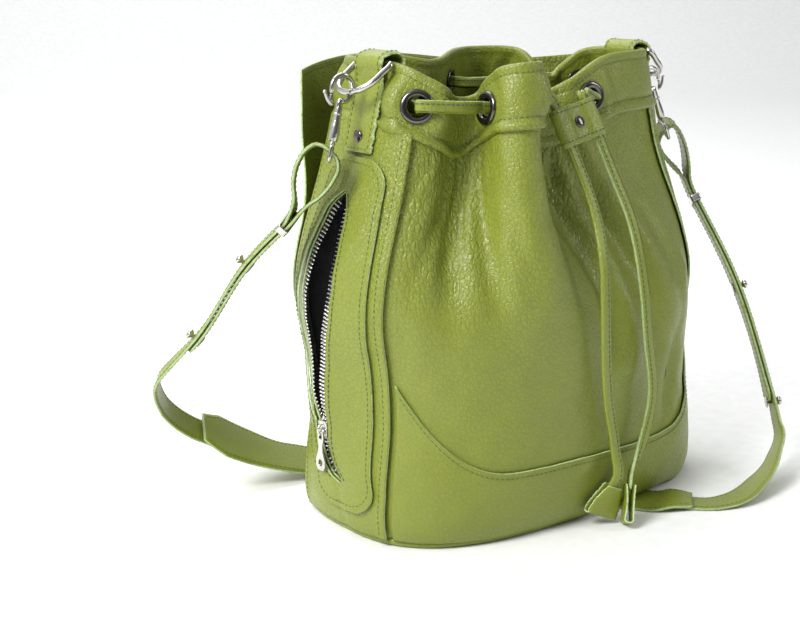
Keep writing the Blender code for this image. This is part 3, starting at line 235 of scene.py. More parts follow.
def rumple(s, v):
    """Creases of the gathered leather, common to every layer of the shell, in metres along its normal."""
    s, v = pair(s, v)
    out = np.zeros(s.shape)
    down = np.clip(0.252 - v, 0, 1)
    for k, (c, w0, d) in enumerate(SAG_S):
        if d < 0.01:
            continue
        q = signed(s, c)
        fan = q / (1 + 9.0 * down)
        env = np.exp(-(q / (0.040 + 0.25 * down))**2) * ease(down / 0.006) * np.exp(-(down / 0.060)**2)
        out += 0.00085 * env * np.cos(2 * math.pi * fan / 0.0125 + 5 * np.sin(18 * down + k) + k)
        env = np.exp(-(q / (0.055 + 0.30 * down))**2) * ease(down / 0.02) * np.exp(-((down - 0.055) / 0.060)**2)
        out += 0.0013 * env * np.cos(2 * math.pi * fan / 0.021 + 1.3 * k + 3 * np.sin(11 * down))
    for c, lean, width, low, high, size in FOLDS:
        mid = c + lean * (v - 0.16)
        env = ease((v - low) / 0.045) * ease((high - v) / 0.035)
        out += size * env * np.exp(-(signed(s, mid) / width)**2)
    # small waves over the whole body
    for k in range(7):
        a, b, ph = 9 + 6.0 * k, 22 + 13.0 * ((k * 5) % 7), 1.7 * k
        size = 0.00034 / (1 + 0.6 * k)
        out += size * np.sin(a * 2 * s * math.pi + ph + 2 * np.sin(b * v)) * np.cos(b * 2.3 * v + ph)
    calm = np.ones(s.shape)
    for es, centre, axis in EYELETS:
        calm = calm * (1 - np.exp(-(signed(s, es) / 0.020)**4 - ((v - EYELET_V) / 0.017)**4))
    edge = 0.35 + 0.65 * ease((np.minimum(v - WALL_V, 0.295 - v)) / 0.02)
    to_seam = np.minimum.reduce([apart(s, c) for c in (SEAM, -SEAM, 0.5 - SEAM, 0.5 + SEAM)])
    seam = 0.30 + 0.70 * ease((to_seam - 0.004) / 0.02)
    return out * calm * edge * seam


def skin(s, v, lift=0.0):
    s, v = pair(s, v)
    return flat(s, v) + normal(s, v, flat) * (np.asarray(lift) + rumple(s, v))[..., None]


def plain_skin(s, v, lift=0.0):
    """The same surface without creases, as in the solid model."""
    s, v = pair(s, v)
    return flat(s, v) + normal(s, v, flat) * np.asarray(lift)[..., None]


def pocket_skin(s, v, lift=0.0):
    """The back pocket: on the body low down, and a free, slightly wavy sheet at its mouth."""
    s, v = pair(s, v)
    t = (s - (0.5 + SEAM)) / (1 - 2 * SEAM - 0.5)
    x = 0.118 - 0.246 * t
    y = 0.0905 - 0.042 * np.abs(2 * t - 1)**3.2
    wave = 0.0012 * np.sin(9 * t) * np.sin(40 * v)
    free = np.stack([x, y + wave, v - 0.004 * np.sin(t * 7.0)], -1)
    w = ease((v - 0.150) / 0.100)[..., None]
    return skin(s, v, lift + 0.004 * ease((v - 0.10) / 0.08)) * (1 - w) + free * w


# ---------------------------------------------------------------- materials
GREEN = (0.205, 0.243, 0.026)
EDGE = (0.50, 0.65, 0.33)


class Nodes:
    """Short hand for building a node tree."""

    def __init__(self, name):
        self.m = bpy.data.materials.new(name)
        self.m.use_nodes = True
        self.t = self.m.node_tree
        self.bsdf = self.t.nodes["Principled BSDF"]
        self.at = self.add("ShaderNodeTexCoord").outputs["Object"]

    def add(self, kind, **values):
        n = self.t.nodes.new(kind)
        for k, v in values.items():
            if hasattr(n, k):
                setattr(n, k, v)
            else:
                n.inputs[k.replace("_", " ")].default_value = v
        return n

    def link(self, a, b):
        self.t.links.new(a, b)

    def noise(self, scale, detail=3.0, rough=0.55, at=None, out="Fac"):
        n = self.add("ShaderNodeTexNoise", Scale=scale, Detail=detail, Roughness=rough)
        self.link(at or self.at, n.inputs["Vector"])
        return n.outputs[out]

    def voronoi(self, scale, feature, at):
        n = self.add("ShaderNodeTexVoronoi", feature=feature, Scale=scale)
        self.link(at, n.inputs["Vector"])
        return n.outputs["Distance"]

    def bands(self, axis, scale, distortion):
        n = self.add("ShaderNodeTexWave", wave_type="BANDS", bands_direction=axis, Scale=scale, Distortion=distortion)
        self.link(self.at, n.inputs["Vector"])
        return n.outputs["Fac"]

    def scaled(self, x, y, z, at=None):
        n = self.add("ShaderNodeMapping")
        n.inputs["Scale"].default_value = (x, y, z)
        self.link(at or self.at, n.inputs["Vector"])
        return n.outputs[0]

    def math(self, op, a, b):
        n = self.add("ShaderNodeMath", operation=op)
        for i, q in enumerate((a, b)):
            if isinstance(q, (int, float)):
                n.inputs[i].default_value = q
            else:
                self.link(q, n.inputs[i])
        return n.outputs[0]

    def remap(self, a, lo, hi, to_lo=0.0, to_hi=1.0):
        n = self.add("ShaderNodeMapRange")
        for k, q in zip(range(1, 5), (lo, hi, to_lo, to_hi)):
            n.inputs[k].default_value = q
        self.link(a, n.inputs[0])
        return n.outputs[0]

    def mix(self, fac, a, b):
        n = self.add("ShaderNodeMix", data_type="RGBA")
        self.link(fac, n.inputs[0])
        for q, i in ((a, 6), (b, 7)):
            if isinstance(q, tuple):
                n.inputs[i].default_value = (*q, 1)
            else:
                self.link(q, n.inputs[i])
        return n.outputs[2]

    def bump(self, height, distance, strength=1.0, under=None):
        n = self.add("ShaderNodeBump", Distance=distance, Strength=strength)
        self.link(height, n.inputs["Height"])
        if under is not None:
            self.link(under, n.inputs["Normal"])
        return n.outputs[0]

    def done(self, colour=None, rough=None, bump=None):
        for q, name in ((colour, "Base Color"), (rough, "Roughness"), (bump, "Normal")):
            if q is not None:
                self.link(q, self.bsdf.inputs[name])
        return self.m


def tone(c, k):
    return tuple(q * k for q in c)


def leather(name, base=GREEN, grain=350.0, depth=0.00030, crease=True):
    """Pebbled leather: flat grain cells with narrow valleys, fine pores, crinkles where gathered, tonal drift, and
    painted shade that darkens the colour in the grain and crinkle valleys.
    """
    g = Nodes(name)
    shift = g.add("ShaderNodeVectorMath", operation="MULTIPLY_ADD")
    g.link(g.noise(120.0, out="Color"), shift.inputs[0])
    shift.inputs[1].default_value = (0.0030,) * 3
    g.link(g.at, shift.inputs[2])
    at = shift.outputs[0]
    big = g.remap(g.voronoi(grain, "DISTANCE_TO_EDGE", at), 0.0, 0.16)
    level = g.remap(g.voronoi(grain, "F1", at), 0.0, 0.7, 1.0, 0.0)
    fine = g.remap(g.voronoi(grain * 2.6, "DISTANCE_TO_EDGE", at), 0.0, 0.22)
    patch = g.remap(g.noise(22.0), 0.36, 0.64)
    split = g.add("ShaderNodeSeparateXYZ")
    g.link(g.at, split.inputs[0])
    slack = g.remap(split.outputs["Z"], 0.03, 0.23, 0.42, 1.0)      # stretched smoother towards the base
    height = g.math("MULTIPLY", big, g.math("MULTIPLY", slack, g.remap(patch, 0, 1, 0.50, 1.0)))
    height = g.math("ADD", height, g.math("MULTIPLY", fine, 0.16))
    height = g.math("ADD", height, g.math("MULTIPLY", level, 0.35))
    # painted shade: this mask is low in the grain valleys and, where creased, in the crinkle valleys
    valley_shade_mask = big
    if crease:
        where = g.add("ShaderNodeAttribute", attribute_name="crease").outputs["Fac"]
        stretch = g.scaled(1.0, 1.0, 0.42, at)
        wrinkle = g.math("MULTIPLY", g.remap(g.voronoi(300.0, "DISTANCE_TO_EDGE", stretch), 0.0, 0.26), where)
        height = g.math("ADD", height, g.math("MULTIPLY", wrinkle, 2.1))
        valley_shade_mask = g.math("MULTIPLY", big, g.math("ADD", wrinkle, g.math("SUBTRACT", 1.0, where)))
    bump = g.bump(height, depth, 0.85)
    bump = g.bump(g.noise(60.0, 2.0), 0.0006, 0.18, bump)
    drift = g.remap(g.noise(9.0, 3.0, 0.5), 0.32, 0.68)
    colour = g.mix(drift, tone(base, 0.95), tone(base, 1.05))
    # painted shade: the valleys take a darker copy of the green; slack makes it weaker towards the base
    valley_shade_mask = g.math("SUBTRACT", 1.0, g.math("MULTIPLY", slack, g.math("SUBTRACT", 1.0, g.remap(valley_shade_mask, 0.0, 0.55))))
    colour = g.mix(valley_shade_mask, g.mix(drift, tone(base, 0.70), tone(base, 0.80)), colour)
    colour = g.mix(g.remap(g.noise(1100.0, 2.0), 0.64, 0.82), colour, tone(base, 1.10))
    rough = g.math("ADD", g.remap(big, 0.0, 1.0, 0.48, 0.31), g.remap(drift, 0, 1, -0.03, 0.05))
    g.bsdf.inputs["IOR"].default_value = 1.48
    g.bsdf.inputs["Coat Weight"].default_value = 0.10
    g.bsdf.inputs["Coat Roughness"].default_value = 0.34
    return g.done(colour, rough, bump)


def raw_edge(name, base=EDGE):
    """Cut edge of dyed leather: pale fibres in layers, a little darker skin line."""
    g = Nodes(name)
    fib = g.noise(1400.0)
    lump = g.noise(300.0)
    colour = g.mix(g.remap(fib, 0.35, 0.65), tone(base, 0.72), tone(base, 1.18))
    colour = g.mix(g.remap(lump, 0.52, 0.74), colour, tone(GREEN, 1.25))
    bump = g.bump(fib, 0.00022, 0.9)
    bump = g.bump(lump, 0.0005, 0.6, bump)
    return g.done(colour, g.remap(fib, 0.3, 0.7, 0.78, 0.95), bump)


def thread(name, base):
    """Waxed thread, its twist seen as slanting bands."""
    g = Nodes(name)
    twist = g.bands("DIAGONAL", 900.0, 2.0)
    colour = g.mix(twist, tone(base, 0.7), tone(base, 1.25))
    return g.done(colour, g.remap(twist, 0, 1, 0.62, 0.48), g.bump(twist, 0.0001, 0.7))


def metal(name, base, rough, haze=0.10):
    """Plated metal: smudges, hairline scratches and a touch of unevenness."""
    g = Nodes(name)
    smudge = g.noise(60.0, 4.0, 0.6)
    hair = g.noise(700.0, 2.0, 0.5, g.scaled(1.0, 1.0, 0.06))
    colour = g.mix(g.remap(smudge, 0.35, 0.70), base, tone(base, 0.82))
    r = g.math("ADD", g.remap(smudge, 0.35, 0.70, rough, rough + haze),
               g.remap(hair, 0.55, 0.75, 0.0, 0.07))
    g.bsdf.inputs["Metallic"].default_value = 1.0
    bump = g.bump(g.noise(420.0), 0.00008, 0.35)
    return g.done(colour, r, g.bump(hair, 0.00003, 0.4, bump))


def fabric(name, base, scale, depth):
    """Plain weave from two crossed bands, with slubs."""
    g = Nodes(name)
    h = g.math("MULTIPLY", g.bands("X", scale, 0.8), g.bands("Z", scale, 0.8))
    slub = g.noise(90.0, 4.0)
    colour = g.mix(h, tone(base, 0.55), tone(base, 1.6))
    colour = g.mix(g.remap(slub, 0.45, 0.75), colour, tone(base, 2.2))
    g.bsdf.inputs["Sheen Weight"].default_value = 0.25
    bump = g.bump(slub, 0.0006, 0.4, g.bump(h, depth, 0.8))
    return g.done(colour, g.remap(slub, 0.3, 0.7, 0.80, 0.95), bump)


HIDE = leather("hide")
HIDE_TOP = leather("hide_band", tone(GREEN, 0.96), 380.0, 0.00026)
HIDE_PLAIN = leather("hide_fine", tone(GREEN, 1.06), 430.0, 0.00018, crease=False)
HIDE_STRAP = leather("hide_strap", tone(GREEN, 0.98), 520.0, 0.00016, crease=False)
RAW = raw_edge("cut_edge")
RAW_DEEP = raw_edge("cut_edge_strap", tone(EDGE, 0.76))
THREAD = thread("thread_green", (0.105, 0.160, 0.026))
THREAD_TEAL = thread("thread_teal", (0.055, 0.115, 0.060))
NICKEL = metal("nickel", (0.56, 0.545, 0.52), 0.10)
ZIPMETAL = metal("zip_nickel", (0.72, 0.70, 0.66), 0.20)
DARK = metal("dark_nickel", (0.135, 0.125, 0.118), 0.15)
LINING = fabric("black_lining", (0.010, 0.010, 0.012), 1300.0, 0.00012)
TAPE = fabric("zip_tape", (0.014, 0.014, 0.016), 2200.0, 0.00016)


# ---------------------------------------------------------------- makers
def place(obj, body, nodes):
    """Fasten a piece to its body, in place of the named nodes."""
    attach(obj, body)
    if nodes:
        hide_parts(*nodes)
    return obj


def mend(me, weld=0.0, sliver=0.0, outward=True):
    """Weld close points, clear slivers and turn the faces outward."""
    bm = bmesh.new()
    bm.from_mesh(me)
    if weld:
        bmesh.ops.remove_doubles(bm, verts=bm.verts, dist=weld)
    if sliver:
        bmesh.ops.dissolve_degenerate(bm, dist=sliver, edges=bm.edges)
    if outward:
        bmesh.ops.recalc_face_normals(bm, faces=bm.faces)
    bm.to_mesh(me)
    bm.free()


def linked(name, me):
    obj = bpy.data.objects.new(name, me)
    bpy.context.scene.collection.objects.link(obj)
    return obj


def thicken(obj, thick, offset=1.0, edged=False):
    """Give a sheet its thickness; an edged sheet shows its second material along the cut."""
    m = obj.modifiers.new("thickness", "SOLIDIFY")
    m.thickness, m.offset = thick, offset
    m.material_offset_rim, m.use_quality_normals = int(edged), edged
    return obj


def build(name, verts, faces, mats, index=None, weld=0.0, attr=None):
    """A smooth mesh object from points and faces, with a material index a face and a crease value a point."""
    me = bpy.data.meshes.new(name)
    me.from_pydata(np.asarray(verts, float).tolist(), [], [list(f) for f in faces])
    for m in mats:
        me.materials.append(m)
    if index is not None:
        me.polygons.foreach_set("material_index", np.asarray(index, np.int32))
    me.polygons.foreach_set("use_smooth", [True] * len(me.polygons))
    if attr is not None:
        a = me.attributes.new("crease", "FLOAT", "POINT")
        a.data.foreach_set("value", np.asarray(attr, np.float32))
    if weld:
        mend(me, weld, outward=False)
    me.update()
    return linked(name, me)


def grid_faces(rows, cols, loop_r=False, loop_c=False):
    """Four-sided faces over a grid of points, closed round along either way."""
    i, j = np.meshgrid(np.arange(rows if loop_r else rows - 1), np.arange(cols if loop_c else cols - 1),
                       indexing="ij")
    i, j = i.ravel(), j.ravel()
    i2, j2 = (i + 1) % rows, (j + 1) % cols
    return np.stack([i * cols + j, i * cols + j2, i2 * cols + j2, i2 * cols + j], -1)


def creases(s, v):
    """How strongly the gathered leather is creased: high under the valleys and at the band. It sets the crinkle bump
    and the painted crease shade of the leather.
    """
    out = 0.10 * ease((v - 0.14) / 0.08)
    for c, w0, d in SAG_S:
        if d > 0.01:
            down = np.clip(0.262 - v, 0, 1)
            out = out + np.exp(-(signed(s, c) / (0.040 + 0.22 * down))**2) * np.exp(-(down / 0.085)**2)
    gus = np.exp(-(apart(s, 0.5) / 0.05)**2) + np.exp(-(apart(s, 0.09) / 0.05)**2)
    return np.clip(out + 0.35 * gus * ease((v - 0.10) / 0.08), 0, 1)


def panel(name, s, v, lift, node, surface=skin):
    """A leather panel over arrays of places, thickened outward, its cut edge raw."""
    s, v = np.broadcast_arrays(s, v)
    obj = build(name, surface(s, v, lift).reshape(-1, 3), grid_faces(*s.shape), [HIDE, RAW],
                attr=creases(s, v).ravel())
    place(thicken(obj, LEATHER, edged=True), "bag", [node])


def read(q, run, a):
    """Rows of a, given at the distances run, read at the distances q."""
    return np.stack([np.interp(q, run, a[:, k]) for k in range(3)], 1)


class Stitches:
    """Collects thread stitches and lays them down as one object."""

    def __init__(self, name, material=THREAD, body="bag", slot="leather"):
        self.parts, self.name, self.material, self.body, self.slot = [], name, material, body, slot

    def along(self, p, n, pitch=0.0034, length=0.0026, radius=0.00026):
        """A row of stitches along the points p, standing off the surface along n."""
        p, n = np.asarray(p, float), np.asarray(n, float)
        run = run_of(p)
        count = int(run[-1] / pitch)
        mid = (np.arange(count) + 0.5) * run[-1] / count
        ahead, behind = read(mid + length / 2, run, p), read(mid - length / 2, run, p)
        self.parts.append((read(mid, run, p), unit(ahead - behind), read(mid, run, n), length, radius))

    def lay(self):
        shape = ((-0.5, 0.35, -1.1), (-0.40, 0.80, 0.0), (-0.15, 1.0, 0.5), (0.15, 1.0, 0.5),
                 (0.40, 0.80, 0.0), (0.5, 0.35, -1.1))      # along, radius, height of each ring of a stitch
        verts, faces, base, sides = [], [], 0, 6
        a = np.linspace(0, 2 * math.pi, sides, endpoint=False)
        ring_faces = grid_faces(len(shape), sides, loop_c=True)
        caps = [list(range(sides))[::-1], [(len(shape) - 1) * sides + k for k in range(sides)]]
        for c, d, m, length, radius in self.parts:
            m = unit(m - (m * d).sum(1, keepdims=True) * d)
            b = np.cross(d, m)
            block = []
            for x, r, h in shape:
                ring = (c[:, None] + d[:, None] * x * length + m[:, None] * h * radius
                        + (b[:, None] * np.cos(a)[None, :, None] * 1.15 + m[:, None] * np.sin(a)[None, :, None])
                        * r * radius)
                block.append(ring)
            block = np.stack(block, 1).reshape(len(c), -1, 3)
            verts.append(block.reshape(-1, 3))
            per = len(shape) * sides
            for k in range(len(c)):
                faces += (ring_faces[:, ::-1] + base + k * per).tolist()
                faces += [[q + base + k * per for q in cap][::-1] for cap in caps]
            base += per * len(c)
        obj = build(self.name, np.concatenate(verts), faces, [self.material])
        return place(obj, self.body, ()) if self.body else obj


def seam_on(s, v, lift, surface=skin):
    """Points along a seam, and the way out of the surface at each."""
    s, v = pair(s, v)
    e = 6e-4
    n = np.cross(surface(s + e, v, lift) - surface(s - e, v, lift),
                 surface(s, v + e, lift) - surface(s, v - e, lift))
    return surface(s, v, lift), unit(n)


def smooth_path(points, widths, count=None, each=3):
    """Points, width directions and tangents of a smooth path: count of them, or each times the points given."""
    p = np.array([(*q, *w) for q, w in zip(points, widths)], float)
    k = run_of(p[:, :3])
    q = np.linspace(0, k[-1], count) if count else np.interp(np.arange((len(k) - 1) * each + 1) / each,
                                                            np.arange(len(k)), k)
    r = np.stack([through(k, p[:, j], q) for j in range(6)], 1)
    t = unit(np.gradient(r[:, :3], q, axis=0))
    w = r[:, 3:]
    return r[:, :3], unit(w - (w * t).sum(1, keepdims=True) * t), t


def hoop(ring, across):
    """A closed path for strip, with its width along across."""
    ring = np.array(ring)
    return ring, np.tile(np.array(across), (len(ring), 1)), unit(np.roll(ring, -1, 0) - np.roll(ring, 1, 0))


def strip(name, path, width, thickness, mats, section="cut", closed=False, wave=0.0):
    """A leather strip swept along a path. section: cut = both edges raw; fold = folded at -w, raw at +w;
    fold_r = folded at +w, raw at -w. Raw sides take the second material."""
    p, w, t = path
    n = np.cross(t, w)
    half = np.broadcast_to(np.asarray(width, float) / 2, (len(p),))
    h = thickness / 2
    r = 0.35 * h

    raw = [(-(h - r) / h, -0.12), (-0.30, 0.0), (0.0, -0.05), (0.30, 0.0), ((h - r) / h, -0.12)]
    fold = [(math.sin(a), math.cos(a) - 1) for a in np.radians((-80, -45, -15, 15, 45, 80))]
    right = fold if section == "fold_r" else raw
    left = fold if section == "fold" else raw
    face = (0.82, 0.5, 0.0, -0.5, -0.82)
    # each point of the section: place across, place up, how far it stands past the edge, raw or not
    pts = [(1, y, dx * h, right is raw) for y, dx in right] + [(x, 1.0, None, False) for x in face]
    pts += [(-1, y, dx * h, left is raw) for y, dx in left[::-1]] + [(x, -1.0, None, False) for x in face[::-1]]
    m = len(pts)
    rings = np.zeros((len(p), m, 3))
    i = np.arange(len(p))
    for k, (x, y, dx, _) in enumerate(pts):
        off = half * x if dx is None else x * (half + dx)
        if dx is not None and wave:
            off = off + x * wave * (np.sin(i * 1.7 + x) + 0.6 * np.sin(i * 0.73 + 2 * x)) * (dx > -0.9 * h)
        rings[:, k] = p + w * off[:, None] + n * (y * h)
    faces = grid_faces(len(p), m, loop_r=closed, loop_c=True).tolist()
    kinds = [int(pts[j][3] and pts[(j + 1) % m][3]) for j in range(m)]
    index = kinds * (len(p) if closed else len(p) - 1)
    if not closed:
        faces += [list(range(m))[::-1], [(len(p) - 1) * m + k for k in range(m)]]
        index += [1, 1]
    return build(name, rings.reshape(-1, 3), faces, mats, index)


def from_curve(name, cu, loops, mats, cyclic=True, radii=None, move=None):
    """The mesh of a curve that runs straight between the points of its loops."""
    for loop in loops:
        sp = cu.splines.new("POLY")
        sp.points.add(len(loop) - 1)
        for i, q in enumerate(loop):
            sp.points[i].co = (*q, 1)
            sp.points[i].radius = radii[i] if radii is not None else 1
        sp.use_cyclic_u = cyclic
    tmp = linked(name + "_c", cu)
    bpy.context.view_layer.update()
    me = bpy.data.meshes.new_from_object(tmp.evaluated_get(bpy.context.evaluated_depsgraph_get()))
    bpy.data.objects.remove(tmp, do_unlink=True)
    if move:
        me.transform(move)
    mend(me, 1e-6)
    me.materials.clear()
    for m in mats:
        me.materials.append(m)
    me.shade_smooth()
    return linked(name, me)


def tube(name, points, radius, mats, cyclic=False, radii=None, sides=5, count=None):
    """A round bar through the points, smoothed to count points if count is given."""
    pts = [Vector(q) for q in points]
    if count:
        a = np.array([tuple(q) for q in pts] + ([tuple(pts[0])] if cyclic else []))
        k = run_of(a)
        q = np.linspace(0, k[-1], count + (1 if cyclic else 0))
        fine = np.stack([through(k, a[:, j], q) for j in range(3)], 1)
        pts = [Vector(z) for z in (fine[:-1] if cyclic else fine)]
        radii = list(np.interp(q, k, radii)) if radii is not None else None
    cu = bpy.data.curves.new(name, "CURVE")
    cu.dimensions, cu.bevel_depth, cu.bevel_resolution, cu.use_fill_caps = "3D", radius, sides, not cyclic
    return from_curve(name, cu, [pts], mats, cyclic, radii)


def lathe(name, profile, centre, axis, mats, segments=48):
    """A turned part from (radius, height) pairs; closed when no radius is zero."""
    prof = np.array(profile, float)
    n = len(prof)
    closed = prof[:, 0].min() > 0
    a = np.linspace(0, 2 * math.pi, segments, endpoint=False)
    rot = Vector(axis).to_track_quat("Z", "Y").to_matrix()
    rot = np.array([tuple(r) for r in rot])
    local = np.stack([prof[None, :, 0] * np.cos(a)[:, None], prof[None, :, 0] * np.sin(a)[:, None],
                      np.broadcast_to(prof[None, :, 1], (segments, n))], -1)
    p = local @ rot.T + np.array(centre, float)
    obj = build(name, p.reshape(-1, 3), grid_faces(segments, n, loop_r=True, loop_c=closed), mats, weld=1e-6)
    mend(obj.data, sliver=1e-7)
    return obj


def outline(name, points, origin, axes, thickness, mats, bevel, holes=()):
    """A flat plate cut to an outline, with round edges and holes."""
    cu = bpy.data.curves.new(name, "CURVE")
    cu.dimensions, cu.fill_mode, cu.extrude = "2D", "BOTH", thickness / 2 - bevel
    cu.bevel_depth, cu.bevel_resolution, cu.offset = bevel, 2, -bevel
    loops = [[(x, y, 0) for x, y in loop] for loop in (points, *holes)]
    move = Matrix.Translation(origin) @ Matrix([Vector(q) for q in axes]).transposed().to_4x4()
    obj = from_curve(name, cu, loops, mats, move=move)
    obj.data.set_sharp_from_angle(angle=math.radians(40))
    return obj


def arc(centre, x, y, radius, start, stop, count):
    c, x, y = Vector(centre), Vector(x), Vector(y)
    return [c + (x * math.cos(a) + y * math.sin(a)) * radius
            for a in (math.radians(start + (stop - start) * k / (count - 1)) for k in range(count))]


# ---------------------------------------------------------------- camera, floor, light
AZ, EL, DIST = math.radians(-37.4), math.radians(13.7), 0.8785
back = Vector((math.sin(AZ) * math.cos(EL), -math.cos(AZ) * math.cos(EL), math.sin(EL)))
cam = linked("camera", bpy.data.cameras.new("camera"))
cam.data.sensor_width, cam.data.lens = 36, 63
cam.data.clip_start = 0.05
cam.location = Vector((-0.0865, 0.0022, 0.1315)) + back * DIST
cam.rotation_mode = "QUATERNION"
cam.rotation_quaternion = (-back).to_track_quat("-Z", "Y")
bpy.context.scene.camera = cam

g = Nodes("floor_pale")
speck = g.noise(90.0, 4.0)
FLOOR = g.done(g.mix(g.remap(speck, 0.35, 0.65), (0.88, 0.88, 0.875), (0.93, 0.93, 0.925)),
               g.remap(speck, 0.3, 0.7, 0.55, 0.70))
rows = []
for k in range(24):
    t = k / 23
    ang = math.radians(90 * max(0.0, (t - 0.35) / 0.65))
    rows.append((3.0 + 1.2 * math.sin(ang) if t > 0.35 else -3.5 + 6.5 * t / 0.35, 1.2 - 1.2 * math.cos(ang)))
rows.append((4.2, 5.0))
P = np.array([[(x, y, z - 0.0002) for x in (-5.0, 5.0)] for y, z in rows])
turn = np.array([[math.cos(AZ), -math.sin(AZ), 0], [math.sin(AZ), math.cos(AZ), 0], [0, 0, 1]])
floor = build("floor", (P @ turn.T).reshape(-1, 3), grid_faces(len(rows), 2), [FLOOR])

world = bpy.data.worlds.new("studio")
bpy.context.scene.world = world
world.use_nodes = True
tree = world.node_tree
sky = tree.nodes["Background"]
way = tree.nodes.new("ShaderNodeTexCoord").outputs["Generated"]
right = Vector((math.cos(AZ), math.sin(AZ), 0.0))
toward = Vector((math.sin(AZ), -math.cos(AZ), 0.0))
lit = (-right * 0.75 + UP * 0.62 - toward * 0.25).normalized()
dot = tree.nodes.new("ShaderNodeVectorMath")
dot.operation = "DOT_PRODUCT"
dot.inputs[1].default_value = lit
tree.links.new(way, dot.inputs[0])
ramp = tree.nodes.new("ShaderNodeMapRange")
for k, q in zip(range(1, 5), (-0.30, 0.95, 0.16, 0.95)):
    ramp.inputs[k].default_value = q
ramp.interpolation_type = "SMOOTHSTEP"
tree.links.new(dot.outputs["Value"], ramp.inputs[0])
tree.links.new(ramp.outputs[0], sky.inputs["Strength"])
sky.inputs["Color"].default_value = (0.97, 0.985, 1.0, 1)


def area(name, at, to, size, power):
    """A soft light of a size in metres and a power in watts, turned towards a place."""
    d = bpy.data.lights.new(name, "AREA")
    d.shape, d.size, d.size_y, d.energy = "RECTANGLE", size[0], size[1], power
    o = linked(name, d)
    o.location = at
    o.rotation_mode = "QUATERNION"
    o.rotation_quaternion = (Vector(to) - Vector(at)).to_track_quat("-Z", "Y")


area("key", (-1.25, -0.20, 1.20), (0, 0, 0.12), (0.6, 0.6), 27)
area("top", (0.1, 1.0, 1.7), (0, 0, 0.10), (1.4, 1.0), 18)
area("fill", (1.1, -0.9, 0.9), (0, 0, 0.15), (0.35, 0.9), 6.0)
wall = -toward * 4.0 - right * 1.6
area("backdrop", tuple(wall * 0.42 + UP * 2.6), tuple(wall + UP * 0.9), (2.2, 1.2), 48)
bpy.context.scene.view_settings.view_transform = "Standard"

# ---------------------------------------------------------------- cords first: tails, tassels
CINCH_D = Vector((0.20, -0.36, -0.911)).normalized()
CINCH_W = Vector((1.0, 0.03, 0.0))
CINCH_W = (CINCH_W - CINCH_D * CINCH_W.dot(CINCH_D)).normalized()
CINCH_N = CINCH_D.cross(CINCH_W).normalized()
if CINCH_N.y > 0:
    CINCH_N = -CINCH_N
CINCH_C = Vector((0.0000, -0.0625, 0.2500))
CINCH_H, TUNNEL = 0.0240, 0.0130


def tunnel(side, d):
    return CINCH_C + CINCH_W * side * TUNNEL + CINCH_D * d


LEFT_LEAF = (Vector((0.0046, -0.0992, 0.0255)), Vector((-0.0018, -0.0943, 0.0064)), Vector((0.93, -0.30, -0.22)))
RIGHT_LEAF = (Vector((0.0165, -0.1020, 0.0245)), Vector((0.0085, -0.1085, 0.0028)), Vector((0.607, 0.794, 0.0)))


def into_leaf(leaf, d):
    return leaf[0] + (leaf[1] - leaf[0]).normalized() * d


def tail_route(side, leaf, free):
    """Down through the cinch, free in front of the bag, and into the tassel's fold."""
    return (*(tunnel(side, d) for d in (-0.0050, 0.0100, 0.0230, 0.0360)), *free,
            *(into_leaf(leaf, d) for d in (-0.0060, -0.0010, 0.0030)))


LEFT_TAIL = tail_route(-1, LEFT_LEAF, (
    (-0.005, -0.0850, 0.198), (-0.009, -0.0985, 0.165), (-0.009, -0.1000, 0.145), (-0.002, -0.0985, 0.083),
    (0.006, -0.0985, 0.048)))
RIGHT_TAIL = tail_route(1, RIGHT_LEAF, (
    (0.025, -0.0870, 0.190), (0.028, -0.0975, 0.145), (0.030, -0.0995, 0.120), (0.037, -0.0990, 0.076),
    (0.029, -0.0995, 0.048)))


def leaf_piece(tag, leaf, widths, gap):
    """A leaf of thick leather folded over the end of a cord, with a crease and raw edges."""
    top, tip, across = leaf
    d = (tip - top).normalized()
    across = (across - d * across.dot(d)).normalized()
    m = d.cross(across).normalized()
    size = (tip - top).length
    pts, ws = [], []
    for t in np.linspace(0, 0.92, 12):
        pts.append(top + d * size * t + m * gap * (1 - 0.25 * math.sin(math.pi * t)))
        ws.append(np.interp(t, (0, 0.3, 0.62, 0.92), widths))
    for a in np.linspace(20, 160, 6):
        pts.append(top + d * size * (0.93 + 0.07 * math.sin(math.radians(a))) + m * gap * math.cos(math.radians(a)))
        ws.append(widths[-1])
    for t in np.linspace(0.92, 0, 12):
        pts.append(top + d * size * t - m * gap * (1 - 0.25 * math.sin(math.pi * t)))
        ws.append(np.interp(t, (0, 0.3, 0.62, 0.92), widths))
    path = smooth_path(pts, [across] * len(pts), 60)
    width = np.interp(np.linspace(0, 1, 60), np.linspace(0, 1, len(ws)), ws)
    obj = strip(f"tassel_{tag}", path, width, 0.0015, [HIDE_PLAIN, RAW], wave=0.00025)
    return place(obj, "bag", [f"{tag}_tassel"])


TAILS = {}      # the two tails' paths, for their stitching
for tag, points, leaf, kind, leaf_widths, leaf_gap in (
        ("left", LEFT_TAIL, LEFT_LEAF, "fold", (0.0105, 0.0150, 0.0195, 0.0215), 0.0026),
        ("right", RIGHT_TAIL, RIGHT_LEAF, "fold_r", (0.0100, 0.0135, 0.0150, 0.0130), 0.0028)):
    widths = [CINCH_W] * 4 + [Vector((1, 0, 0))] * 5 + [leaf[2]] * 3
    path = smooth_path(points, widths, 190)
    obj = strip(f"tail_{tag}", path, CORD_W, CORD_T, [HIDE_PLAIN, RAW_DEEP], kind, wave=0.00010)
    place(obj, "bag", [f"{tag}_tail"])
    tassel = leaf_piece(tag, leaf, leaf_widths, leaf_gap)
    TAILS[tag] = path

# ---------------------------------------------------------------- bag body panels
def span(first, last, count):
    return np.linspace(first, last, count)[None, :]


def rise(low, high, count):
    return np.linspace(low, high, count)[:, None]


def bow(v):
    table = np.array(ZIP_WANDER)
    return ZIP_S - through(table[:, 0], table[:, 1], np.clip(v, *ZIP_V))


